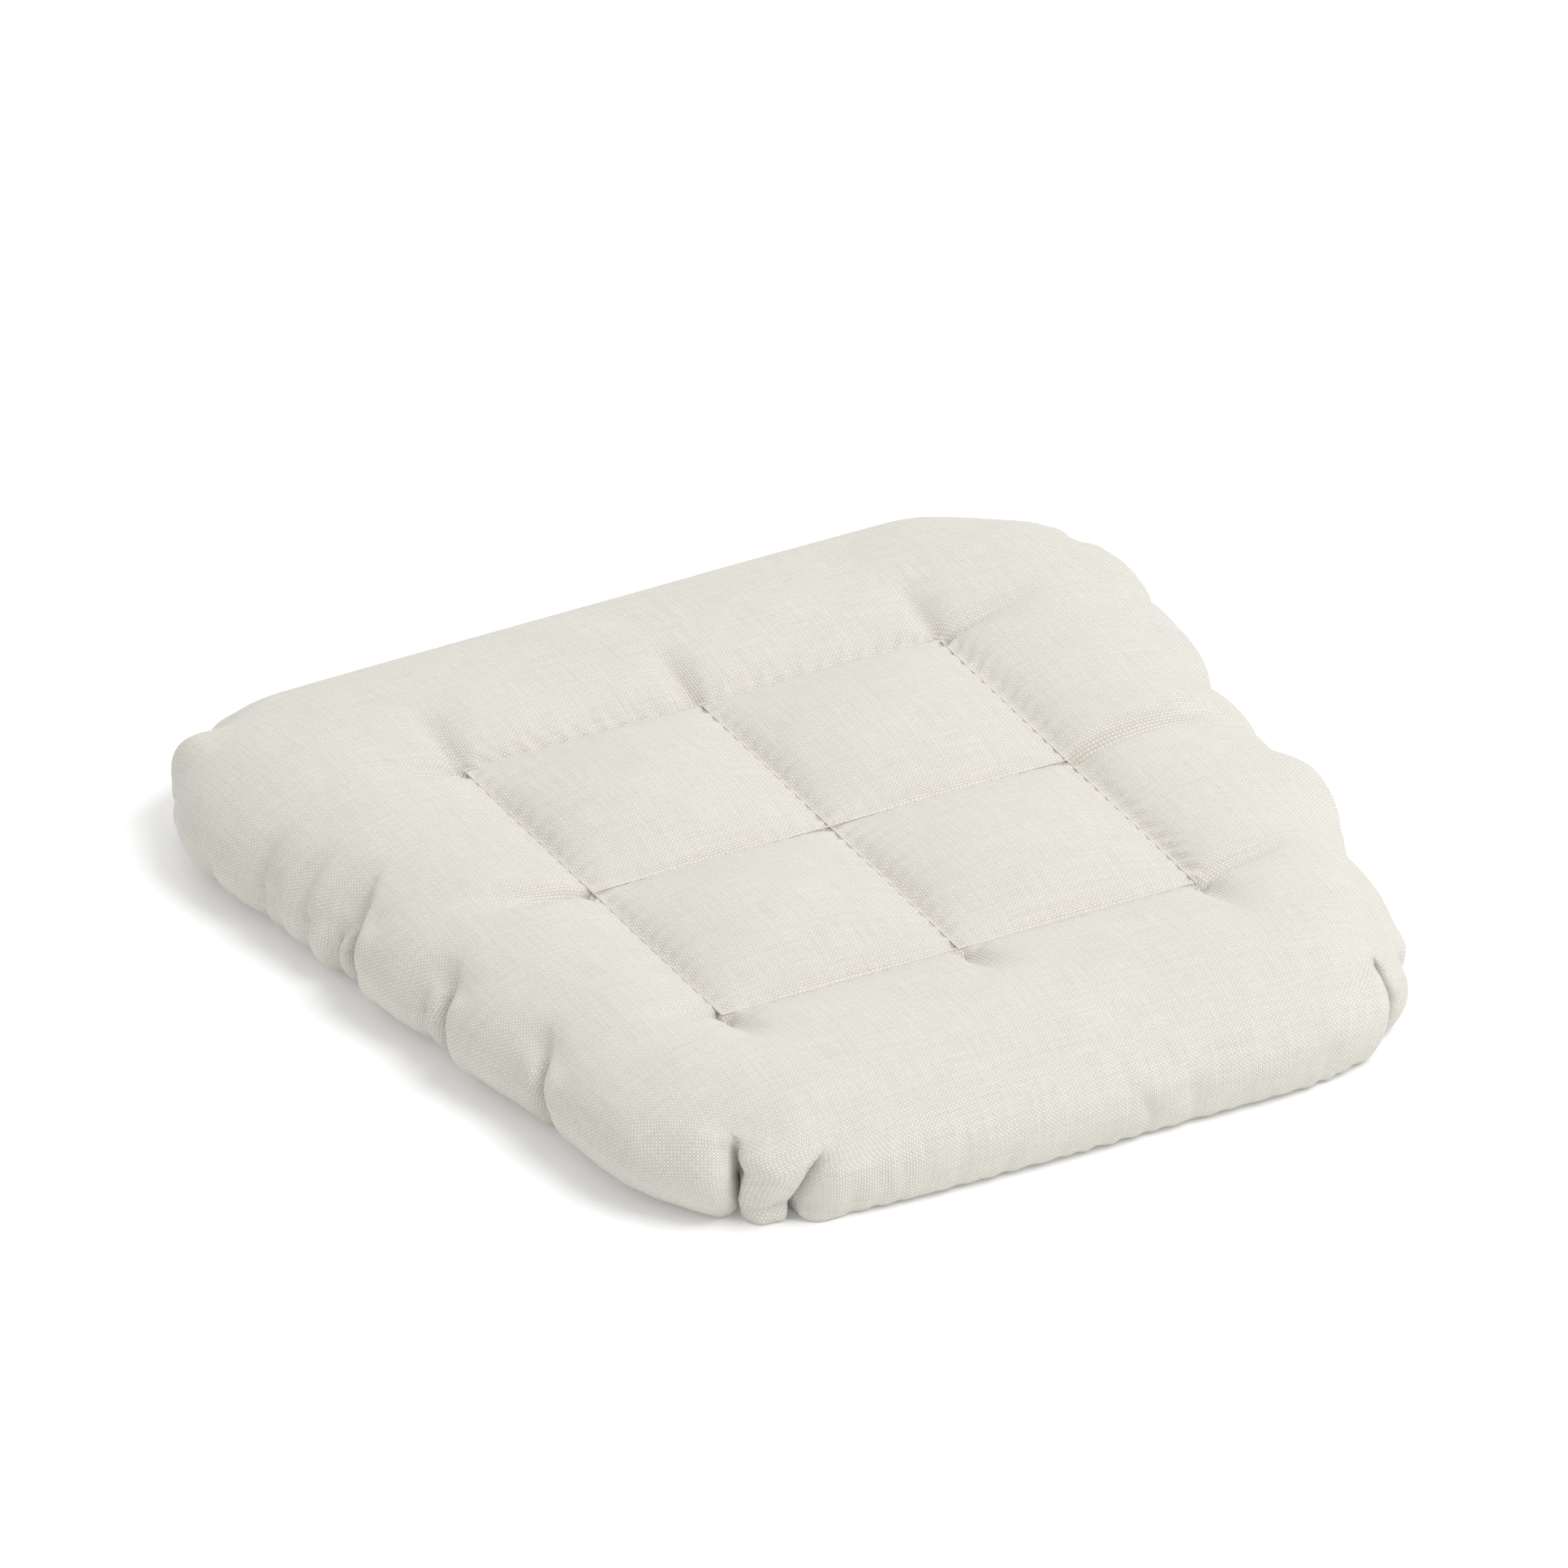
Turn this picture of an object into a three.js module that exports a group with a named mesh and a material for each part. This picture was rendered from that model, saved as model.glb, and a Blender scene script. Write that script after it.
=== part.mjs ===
// A quilted chair seat pad: canvas cover, foam core, wadding and the sewing threads that hold them.
// Millimetres, +Z up. The origin is on the surface the pad lies on, under the middle of the outline.
// +Y is the wide front edge, -Y the narrow rear edge and +X the right-hand side.
import * as THREE from "three";

// ---- driving dimensions ----
const frontWidth = 416; // across the front edge, measured to its sharp corners
const rearWidth = 321; // across the rear edge, measured to its sharp corners
const depth = 399; // front edge to rear edge
const cornerRadius = 72; // rounding of all four corners, in plan
const rimHeight = 21; // height at which the pad is widest
const crownHeight = 49; // the fullest part of the padded border
const seamHeight = 41; // top of the cover along the quilting
const cellCrown = 5.5; // how far each quilted cell swells above its seams
const rollWidth = 72; // how far in from the edge the border reaches its full height
const rollFullness = 1.9; // 2 is an ellipse, more is squarer
const underRoll = 24; // how far in from the edge the underside meets the floor
const seamPull = 15; // how far from a seam its dip has mostly died away
const quiltSize = 200; // side of the quilted square
const quiltShift = -3; // the square's centre, towards the front
const creaseDepth = 2.5; // how far the quilting draws the underside up
const creaseWidth = 5; // half width of that crease
const cloth = 1; // thickness of the canvas
const threadRadius = 0.35; // sewing thread
const hemInset = 29; // the edge seam, in from the widest outline
const seamAllowance = 6; // height of the turned-in edges of both covers
const coreInset = 30; // edge of the foam, in from the widest outline
const coreBottom = 10; // underside of the foam
const coreThickness = 22; // thickness of the foam
const closingLength = 150; // length of the opening the filling went in through
const clearance = 0.3; // between pieces that touch

// ---- resolution ----
const stepsPerArc = 3; // facets on half a rounded corner
const stepsPerSide = 3; // facets on half a straight edge
const threadSides = 6;

// ---- derived sizes ----
const halfQuilt = quiltSize / 2;
const sideLean = Math.atan((frontWidth - rearWidth) / 2 / depth); // how far the sides turn from fore-and-aft
const stations = 8 * (stepsPerArc + stepsPerSide); // points round each ring
const paddingDepth = cloth + clearance; // from the outer face to the wadding
const coreTop = coreBottom + coreThickness;
const lipDepth = cloth * 2 + clearance; // both turned-in edges side by side
const threadRoom = threadRadius * 2 + clearance * 2;

// ---- plan outline ----

/** Where the offset sides of two neighbouring edges meet: the centre of that corner's rounding. */
function cornerCentre(signX, signY) {
  const y = signY * (depth / 2 - cornerRadius);
  const halfWidth = (frontWidth + rearWidth) / 4 + y * Math.tan(sideLean);
  return new THREE.Vector2(signX * (halfWidth - cornerRadius / Math.cos(sideLean)), y);
}

/** The four corners in order, each with the directions its rounding starts and ends in (radians). */
function cornerArcs() {
  const right = -sideLean; // outward direction of the right-hand edge
  const left = Math.PI + sideLean;
  const front = Math.PI / 2;
  const rear = -Math.PI / 2;
  return [
    { centre: cornerCentre(1, 1), from: right, to: front },
    { centre: cornerCentre(-1, 1), from: front, to: left },
    { centre: cornerCentre(-1, -1), from: left, to: 2 * Math.PI + rear },
    { centre: cornerCentre(1, -1), from: rear, to: right },
  ];
}

/** A point of the widest outline and the outward direction there. */
function arcPoint(arc, share) {
  const angle = arc.from + (arc.to - arc.from) * share;
  const out = new THREE.Vector2(Math.cos(angle), Math.sin(angle));
  return { rim: arc.centre.clone().addScaledVector(out, cornerRadius), out };
}

/** Stations round the pad. Each pairs a rim point with the matching point of the quilted square. */
function makeStations() {
  const arcs = cornerArcs();
  const corners = [[1, 1], [-1, 1], [-1, -1], [1, -1]].map(
    ([x, y]) => new THREE.Vector2(x * halfQuilt, y * halfQuilt + quiltShift),
  );
  const half = stepsPerArc + stepsPerSide;
  const list = [];
  for (let side = 0; side < 4; side += 1) {
    const arc = arcs[side];
    const next = arcs[(side + 1) % 4];
    for (let step = 0; step < 2 * half; step += 1) {
      const square = corners[side].clone().lerp(corners[(side + 1) % 4], step / (2 * half));
      let edge;
      if (step <= stepsPerArc) {
        edge = arcPoint(arc, 0.5 + (0.5 * step) / stepsPerArc);
      } else if (step < stepsPerArc + 2 * stepsPerSide) {
        const start = arcPoint(arc, 1);
        const along = (step - stepsPerArc) / (2 * stepsPerSide);
        edge = { rim: start.rim.clone().lerp(arcPoint(next, 0).rim, along), out: start.out };
      } else {
        edge = arcPoint(next, (0.5 * (step - stepsPerArc - 2 * stepsPerSide)) / stepsPerArc);
      }
      const width = edge.rim.clone().sub(square).dot(edge.out);
      list.push({ ...edge, square, width });
    }
  }
  return list;
}

const around = makeStations();
const quiltCentre = new THREE.Vector2(0, quiltShift);

/** The point of a station that lies the given distance in from the widest outline. */
function insetPoint(station, inset, z) {
  const p = station.rim.clone().addScaledVector(station.out, -inset);
  return new THREE.Vector3(p.x, p.y, z);
}

// ---- heights of the upper face ----

/** Height of the border at a distance in from the rim, before the quilting pulls it down. */
function rollHeight(inset) {
  const t = 1 - Math.min(inset / rollWidth, 1);
  return rimHeight + (crownHeight - rimHeight) * (1 - t ** rollFullness) ** (1 / rollFullness);
}

/** How full a cell is at a place measured from the quilt's centre, 0 on a seam and 1 in the middle. */
function cellFullness(x, y) {
  const rise = (v) => {
    const u = Math.min(Math.abs(v) / halfQuilt, 1);
    return (4 * u * (1 - u)) ** 0.4;
  };
  return rise(x) * rise(y);
}

/** A ring of the upper face inside the quilted square, at a share of the way out to its seam. */
function cellRing(share) {
  return around.map((station) => {
    const p = quiltCentre.clone().lerp(station.square, share);
    const full = cellFullness(p.x, p.y - quiltShift);
    return new THREE.Vector3(p.x, p.y, seamHeight + cellCrown * full);
  });
}

/** A ring of the upper face on the border, at a share of the way from the seam to the rim. */
function borderRing(share) {
  return around.map((station) => {
    const p = station.square.clone().lerp(station.rim, share);
    const dip = (crownHeight - seamHeight) * Math.exp((-share * station.width) / seamPull);
    const nearRim = rollHeight((1 - share) * station.width);
    return new THREE.Vector3(p.x, p.y, nearRim - dip * (1 - share ** 2));
  });
}

/** A ring of the underside of the roll, turning from the rim (0) to the floor (1). */
function underRing(share) {
  const angle = (share * Math.PI) / 2;
  const inset = underRoll * (1 - Math.cos(angle));
  const z = rimHeight * (1 - Math.sin(angle));
  return around.map((station) => insetPoint(station, inset, z));
}

/** A ring at one distance in from the rim and one height. */
function levelRing(inset, z) {
  return around.map((station) => insetPoint(station, inset, z));
}

/** A ring that is one point, where a closed body's faces meet in the middle. */
function centreRing(z) {
  return around.map(() => new THREE.Vector3(quiltCentre.x, quiltCentre.y, z));
}

const cellShares = [0.14, 0.34, 0.56, 0.78, 0.92, 1];
const borderShares = [0.06, 0.16, 0.32, 0.52, 0.7, 0.84, 0.93, 0.98, 1];
const underShares = [0.25, 0.5, 0.75, 1];

/** The outer face of the cover from the middle of the quilt to the rim. */
const upperFace = [
  centreRing(seamHeight),
  ...cellShares.map(cellRing),
  ...borderShares.map(borderRing),
];
const underFace = underShares.map(underRing);
const wrapFace = [...upperFace, ...underFace];

/** The same rings moved into the pad by a distance, square to the face. */
function inwards(rings, distance) {
  const last = rings.length - 1;
  return rings.map((ring, j) =>
    ring.map((point, k) => {
      if (j === 0) {
        return point.clone().setZ(point.z - distance);
      }
      const before = ring[(k + stations - 1) % stations];
      const after = ring[(k + 1) % stations];
      const inner = rings[j - 1][k];
      const outer = rings[Math.min(j + 1, last)][k];
      const round = after.clone().sub(before);
      const out = outer.clone().sub(inner);
      const normal = out.cross(round).normalize();
      return point.clone().addScaledVector(normal, -distance);
    }),
  );
}

/** A ring with every point set to one height. */
function atHeight(ring, z) {
  return ring.map((point) => point.clone().setZ(z));
}

// ---- bodies from rings ----

/** Rings in the opposite order, for a face seen from inside. Its facets keep the same diagonals. */
function turned(rings) {
  return rings.map((ring) => Object.assign([...ring], { turned: true })).reverse();
}

/** Indexed triangles between rings of equal length; first and last rings may be single points. */
function skin(rings, closed) {
  const positions = [];
  const index = [];
  const rows = rings.map((ring) => {
    const single = ring.every((p) => p.distanceTo(ring[0]) < 1e-9);
    const start = positions.length / 3;
    (single ? [ring[0]] : ring).forEach((p) => positions.push(p.x, p.y, p.z));
    return (k) => start + (single ? 0 : k % ring.length);
  });
  const count = rings[0].length;
  const bands = closed ? rings.length : rings.length - 1;
  for (let j = 0; j < bands; j += 1) {
    const after = (j + 1) % rings.length;
    const here = rows[j];
    const next = rows[after];
    const start = rings[j].turned && rings[after].turned ? 1 : 0;
    for (let k = 0; k < count; k += 1) {
      const quad = [here(k), next(k), next(k + 1), here(k + 1)];
      const corner = (i) => quad[(start + i) % 4];
      for (const tri of [[corner(0), corner(1), corner(2)], [corner(0), corner(2), corner(3)]]) {
        if (new Set(tri).size === 3) {
          index.push(...tri);
        }
      }
    }
  }
  const geometry = new THREE.BufferGeometry();
  geometry.setAttribute("position", new THREE.Float32BufferAttribute(positions, 3));
  geometry.setIndex(index);
  geometry.computeVertexNormals();
  return geometry;
}

/** Sections of a thread lying along a path, which is level apart from gentle rises. */
function threadSections(path, closed) {
  const last = path.length - 1;
  return path.map((point, i) => {
    const before = path[closed ? (i + last) % path.length : Math.max(i - 1, 0)];
    const after = path[closed ? (i + 1) % path.length : Math.min(i + 1, last)];
    const along = after.clone().sub(before).setZ(0).normalize();
    const across = new THREE.Vector3(along.y, -along.x, 0);
    const section = [];
    for (let s = 0; s < threadSides; s += 1) {
      const angle = (2 * Math.PI * s) / threadSides;
      const p = point.clone().addScaledVector(across, threadRadius * Math.cos(angle));
      section.push(p.setZ(point.z + threadRadius * Math.sin(angle)));
    }
    return section;
  });
}

/** A thread that closes on itself. */
function loopThread(path) {
  return skin(threadSections(path, true), true);
}

/** A thread with two ends. */
function openThread(path) {
  const ends = [path[0], path[path.length - 1]].map((p) => Array(threadSides).fill(p));
  return skin([ends[0], ...threadSections(path, false), ends[1]], false);
}

// ---- materials ----
const finishes = {
  canvas: { color: 0xd8d5ca, roughness: 0.92 },
  lining: { color: 0xd2cfc3, roughness: 0.94 },
  thread: { color: 0xd3cfc1, roughness: 0.7 },
  wadding: { color: 0xf4f4f1, roughness: 0.98 },
  foam: { color: 0xece3bd, roughness: 0.95 },
};

const pad = new THREE.Group();

/** Adds one named piece in its own material. */
function addPiece(name, geometry, finish) {
  const material = new THREE.MeshStandardMaterial({ ...finishes[finish], metalness: 0 });
  const mesh = new THREE.Mesh(geometry, material);
  mesh.name = name;
  pad.add(mesh);
}

// ---- top cover: one panel over the top, round the roll and in under the pad ----
function topCover() {
  const turnedUp = [
    levelRing(hemInset, 0),
    levelRing(hemInset, seamAllowance),
    levelRing(hemInset - cloth, seamAllowance),
    levelRing(hemInset - cloth, cloth),
  ];
  const inner = turned(inwards(wrapFace, cloth));
  return skin([...wrapFace, ...turnedUp, ...inner], false);
}

// ---- bottom cover: a flat panel with its edge turned up beside the top cover's ----

/** How far the quilting draws the underside up at a place measured from the quilt's centre. */
function creaseRise(x, y) {
  const onCross = Math.abs(x) < 1e-6 || Math.abs(y) < 1e-6;
  return onCross ? creaseDepth : 0;
}

/** A ring of the underside inside the quilted square, with the creases of the cross seams. */
function underCellRing(share, lift) {
  return around.map((station) => {
    const p = quiltCentre.clone().lerp(station.square, share);
    return new THREE.Vector3(p.x, p.y, lift + creaseRise(p.x, p.y - quiltShift));
  });
}

/** A ring of the underside that keeps a distance outside the quilted square. */
function underBorderRing(distance, rise) {
  return around.map((station) => {
    const p = station.square.clone().lerp(station.rim, distance / station.width);
    return new THREE.Vector3(p.x, p.y, rise);
  });
}

/** Rings of the underside from the middle of the quilt to just outside its square seam. */
function quiltedUnderside(lift) {
  const foot = 1 - creaseWidth / halfQuilt;
  const seam = around.map((s) => new THREE.Vector3(s.square.x, s.square.y, lift + creaseDepth));
  return [
    centreRing(lift + creaseDepth),
    underCellRing(foot / 3, lift),
    underCellRing((2 * foot) / 3, lift),
    underCellRing(foot, lift),
    seam,
    underBorderRing(creaseWidth, lift),
  ];
}

function bottomCover() {
  const edge = hemInset + clearance;
  const turnedUp = [
    levelRing(edge + cloth, cloth),
    levelRing(edge + cloth, seamAllowance),
    levelRing(edge, seamAllowance),
    levelRing(edge, 0),
  ];
  return skin([...quiltedUnderside(cloth), ...turnedUp, ...turned(quiltedUnderside(0))], false);
}

// ---- filling ----
function foamCore() {
  const rings = [
    centreRing(coreTop),
    levelRing(coreInset, coreTop),
    levelRing(coreInset, coreBottom),
    centreRing(coreBottom),
  ];
  return skin(rings, false);
}

/** The wadding over the core, from under the cover down to the joint at the rim. */
function waddingUpper() {
  const joint = rimHeight + clearance / 2;
  const outer = inwards(upperFace, paddingDepth);
  outer[outer.length - 1] = atHeight(levelRing(paddingDepth, 0), joint);
  const besideCore = coreInset - clearance;
  const inner = [
    levelRing(besideCore, joint),
    levelRing(besideCore, coreTop + clearance),
    centreRing(coreTop + clearance),
  ];
  return skin([...outer, ...inner], false);
}

/** The wadding under the core, with room for the edge seam. */
function waddingLower() {
  const joint = rimHeight - clearance / 2;
  const besideCore = coreInset - clearance;
  const under = inwards([upperFace[upperFace.length - 1], ...underFace], paddingDepth).slice(1);
  const seamTop = seamAllowance + clearance;
  const seamOuter = hemInset - cloth - threadRoom;
  const seamInner = hemInset - cloth + lipDepth + threadRoom;
  const rings = [
    centreRing(coreBottom - clearance),
    levelRing(besideCore, coreBottom - clearance),
    levelRing(besideCore, joint),
    levelRing(paddingDepth, joint),
    ...under,
    levelRing(seamOuter, paddingDepth),
    levelRing(seamOuter, seamTop),
    levelRing(seamInner, seamTop),
    levelRing(seamInner, paddingDepth),
    ...turned(quiltedUnderside(paddingDepth)),
  ];
  return skin(rings, false);
}

// ---- quilting threads: an upper and a lower thread along each stitched line ----
const needleHeight = seamHeight + clearance + threadRadius;
const bobbinHeight = creaseDepth - clearance - threadRadius;

/** The square seam at a height. */
function squareSeam(z) {
  return loopThread(around.map((s) => new THREE.Vector3(s.square.x, s.square.y, z)));
}

/** A straight seam across the square, which may lift by a step where it crosses the other. */
function crossSeam(z, alongX, step) {
  const reach = halfQuilt - threadRoom - threadRadius;
  const bridge = 4 * threadRoom;
  const spots = [
    [-reach, 0],
    [-reach / 2, 0],
    [-bridge, 0],
    [-threadRoom, step],
    [threadRoom, step],
    [bridge, 0],
    [reach / 2, 0],
    [reach, 0],
  ];
  const path = spots.map(([v, rise]) =>
    alongX
      ? new THREE.Vector3(v, quiltShift, z + rise)
      : new THREE.Vector3(0, quiltShift + v, z + rise),
  );
  return openThread(path);
}

// ---- edge seam: stitched through both turned-in edges, and closed last along the rear edge ----

/** The share of the ring of stations, as station indices, that the closing seam takes up. */
function isClosing(station) {
  const onRear = station.out.y < -0.99;
  return onRear && Math.abs(station.rim.x) < closingLength / 2;
}

/** A thread along the edge seam, without the stretch that was left open for filling. */
function edgeSeam(inset) {
  const first = around.findIndex((s, k) => isClosing(s) && !isClosing(around[(k + 1) % stations]));
  const path = [];
  for (let k = 1; k <= stations; k += 1) {
    const station = around[(first + k) % stations];
    if (!isClosing(station)) {
      path.push(insetPoint(station, inset, seamAllowance / 2));
    }
  }
  const y = path[0].y;
  const end = closingLength / 2 + threadRoom;
  path.unshift(new THREE.Vector3(end, y, seamAllowance / 2));
  path.push(new THREE.Vector3(-end, y, seamAllowance / 2));
  return openThread(path);
}

/** The thread that closes the opening, on the same line. */
function closingSeam(inset) {
  const y = insetPoint(around.find(isClosing), inset, 0).y;
  const half = closingLength / 2;
  return openThread([-half, 0, half].map((x) => new THREE.Vector3(x, y, seamAllowance / 2)));
}

const needleInset = hemInset - cloth - clearance - threadRadius;
const bobbinInset = hemInset - cloth + lipDepth + clearance + threadRadius;
const overThread = threadRadius * 2 + clearance;

addPiece("top_cover", topCover(), "canvas");
addPiece("bottom_cover", bottomCover(), "lining");
addPiece("wadding_upper", waddingUpper(), "wadding");
addPiece("wadding_lower", waddingLower(), "wadding");
addPiece("foam_core", foamCore(), "foam");
addPiece("quilt_square_needle_thread", squareSeam(needleHeight), "thread");
addPiece("quilt_square_bobbin_thread", squareSeam(bobbinHeight), "thread");
addPiece("quilt_long_needle_thread", crossSeam(needleHeight, false, 0), "thread");
addPiece("quilt_long_bobbin_thread", crossSeam(bobbinHeight, false, 0), "thread");
addPiece("quilt_wide_needle_thread", crossSeam(needleHeight, true, overThread), "thread");
addPiece("quilt_wide_bobbin_thread", crossSeam(bobbinHeight, true, -overThread), "thread");
addPiece("edge_seam_needle_thread", edgeSeam(needleInset), "thread");
addPiece("edge_seam_bobbin_thread", edgeSeam(bobbinInset), "thread");
addPiece("closing_seam_thread", closingSeam(needleInset), "thread");

export default pad;
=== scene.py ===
import math

import bpy
import numpy as np
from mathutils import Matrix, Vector


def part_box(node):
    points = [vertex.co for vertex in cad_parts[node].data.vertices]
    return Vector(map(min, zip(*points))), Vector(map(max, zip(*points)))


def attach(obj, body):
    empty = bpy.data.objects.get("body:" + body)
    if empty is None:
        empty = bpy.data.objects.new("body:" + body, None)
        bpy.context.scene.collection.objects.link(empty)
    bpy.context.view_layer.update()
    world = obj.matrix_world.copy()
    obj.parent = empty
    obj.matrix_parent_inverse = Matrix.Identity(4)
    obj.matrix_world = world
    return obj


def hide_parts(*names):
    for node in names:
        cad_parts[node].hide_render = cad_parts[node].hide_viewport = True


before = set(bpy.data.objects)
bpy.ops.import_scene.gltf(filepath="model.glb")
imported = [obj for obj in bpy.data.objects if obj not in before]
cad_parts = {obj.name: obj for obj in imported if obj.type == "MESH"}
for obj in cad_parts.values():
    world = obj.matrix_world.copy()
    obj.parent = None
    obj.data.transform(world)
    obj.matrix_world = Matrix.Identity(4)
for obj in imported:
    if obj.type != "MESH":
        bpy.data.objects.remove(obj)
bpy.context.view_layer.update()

scene = bpy.context.scene

# ---- sizes, in metres ----
low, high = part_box("top_cover")
DEPTH = high[1] - low[1]  # front edge to rear edge
PUFF = 0.0025  # how far the border stands above the plain shape
CROWN = high[2] - low[2] + PUFF
FRONT_WIDTH = 0.416  # to the sharp corners of the outline
REAR_WIDTH = 0.321
CORNER_RADIUS = 0.072
RIM_HEIGHT = 0.021  # where the pad is widest
ROLL_WIDTH = 0.054  # how far in the border reaches its full height
FRONT_ROLL_WIDTH = 0.078  # the same along the front edge, which is flatter
EDGE_BLEND = 0.014  # how softly the front edge's roll turns into the side edges
FRONT_DROP = 0.0018  # how much lower the border is along the front edge
ROLL_FULLNESS = 1.9
UNDER_ROLL = 0.024  # how far in the underside meets the floor
REAR_UNDER_ROLL = 0.009
HEM_INSET = 0.029
HEM_TURN = 0.006  # height of the turned-in edges
SEAM_HEIGHT = 0.041
CELL_CROWN = 0.0122
SEAM_PULL = 0.0135
QUILT = 0.2
QUILT_SHIFT = -0.003
HALF_QUILT = QUILT / 2
CLOTH = 0.0008
THREAD = 0.0007
STITCH = 0.004  # length of one stitch
PUCKER = 0.008  # length of one pucker along the quilting
PUCKER_DEPTH = 0.0018
WIDE_PUCKER_DEPTH = 0.0004  # the same along the seams that run from side to side
CREASE_HEIGHT = 0.0025  # how far the quilting draws the underside up
CREASE_WIDTH = 0.006
YARN_PITCH = 0.00085  # from one yarn of the canvas to the next
LEAN = math.atan((FRONT_WIDTH - REAR_WIDTH) / 2 / DEPTH)

# ---- resolution of the cover ----
CELLS = 160  # faces along one side of the quilted square
UPPER_RINGS = 62  # faces from the square out to the rim
UNDER_RINGS = 26  # faces from the rim round to the hem
RINGS = UPPER_RINGS + UNDER_RINGS
STATIONS = 4 * CELLS
OUTLINE_STEPS = 2000  # steps along each side when places on it are looked up

SIDES = ("front", "left", "rear", "right")


def smooth_step(low_end, high_end, value):
    t = np.clip((value - low_end) / (high_end - low_end), 0, 1)
    return t * t * (3 - 2 * t)


# ---- plan outline ----
def corner_centre(sign_x, sign_y):
    """The middle of a rounded corner."""
    y = sign_y * (DEPTH / 2 - CORNER_RADIUS)
    half_width = (FRONT_WIDTH + REAR_WIDTH) / 4 + y * math.tan(LEAN)
    return np.array([sign_x * (half_width - CORNER_RADIUS / math.cos(LEAN)), y])


def corner_arcs():
    """The corners in order, each with the directions in which its rounding starts and ends."""
    quarter = math.pi / 2
    return [
        (corner_centre(1, 1), -LEAN, quarter),
        (corner_centre(-1, 1), quarter, math.pi + LEAN),
        (corner_centre(-1, -1), math.pi + LEAN, 3 * quarter),
        (corner_centre(1, -1), -quarter, -LEAN),
    ]


def side_length(first, second):
    """Length of the outline from the middle of one corner to the middle of the next."""
    arcs = CORNER_RADIUS * (first[2] - first[1] + second[2] - second[1]) / 2
    return arcs + np.linalg.norm(second[0] - first[0])


def side_outline(first, second, along):
    """Points and outward directions at these distances from the middle of the first corner."""
    centre, start, end = first
    half_arc = CORNER_RADIUS * (end - start) / 2
    straight = np.linalg.norm(second[0] - centre)
    turned = np.minimum(along, half_arc) + np.maximum(along - half_arc - straight, 0)
    angle = (start + end) / 2 + turned / CORNER_RADIUS
    share = np.clip((along - half_arc) / straight, 0, 1)[:, None]
    out = np.column_stack([np.cos(angle), np.sin(angle)])
    return centre + (second[0] - centre) * share + CORNER_RADIUS * out, out


arcs = corner_arcs()
side_pairs = [(arcs[side], arcs[(side + 1) % 4]) for side in range(4)]
side_lengths = [side_length(*pair) for pair in side_pairs]
side_starts = np.concatenate([[0], np.cumsum(side_lengths)])
ROUND = side_starts[-1]  # the whole way round the rim
along_sides = [np.linspace(0, length, OUTLINE_STEPS) for length in side_lengths]
side_samples = [side_outline(*pair, along) for pair, along in zip(side_pairs, along_sides)]


def cross(a, b):
    return a[..., 0] * b[..., 1] - a[..., 1] * b[..., 0]


def inset_at(points):
    """How far in from the rim each plan point is, and the outward direction there."""
    best = np.full(points.shape[:-1], np.inf)
    facing = np.zeros_like(points)
    for centre, start, end in arcs:
        edge_out = np.array([math.cos(end), math.sin(end)])
        inset = CORNER_RADIUS - (points - centre) @ edge_out
        nearer = inset < best
        best = np.where(nearer, inset, best)
        facing[nearer] = edge_out
    for centre, start, end in arcs:
        own = points - centre
        first = np.array([math.cos(start), math.sin(start)])
        last = np.array([math.cos(end), math.sin(end)])
        sector = (cross(first, own) > 0) & (cross(own, last) > 0)
        radius = np.linalg.norm(own, axis=-1)
        best = np.where(sector, CORNER_RADIUS - radius, best)
        facing[sector] = own[sector] / radius[sector][..., None]
    return best, facing


def rim_place(where, value):
    """Distance round the rim to a place: a side and its x (front, rear) or y (left, right) there,
    or "facing" and the direction in degrees that the rim faces there."""
    if where == "facing":
        wanted = np.array([math.cos(math.radians(value)), math.sin(math.radians(value))])
        match = [(directions @ wanted).max() for _, directions in side_samples]
        side = int(np.argmax(match))
        return side_starts[side] + along_sides[side][int((side_samples[side][1] @ wanted).argmax())]
    side = SIDES.index(where)
    axis = 0 if where in ("front", "rear") else 1
    nearest = int(np.abs(side_samples[side][0][:, axis] - value).argmin())
    return side_starts[side] + along_sides[side][nearest]


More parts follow.
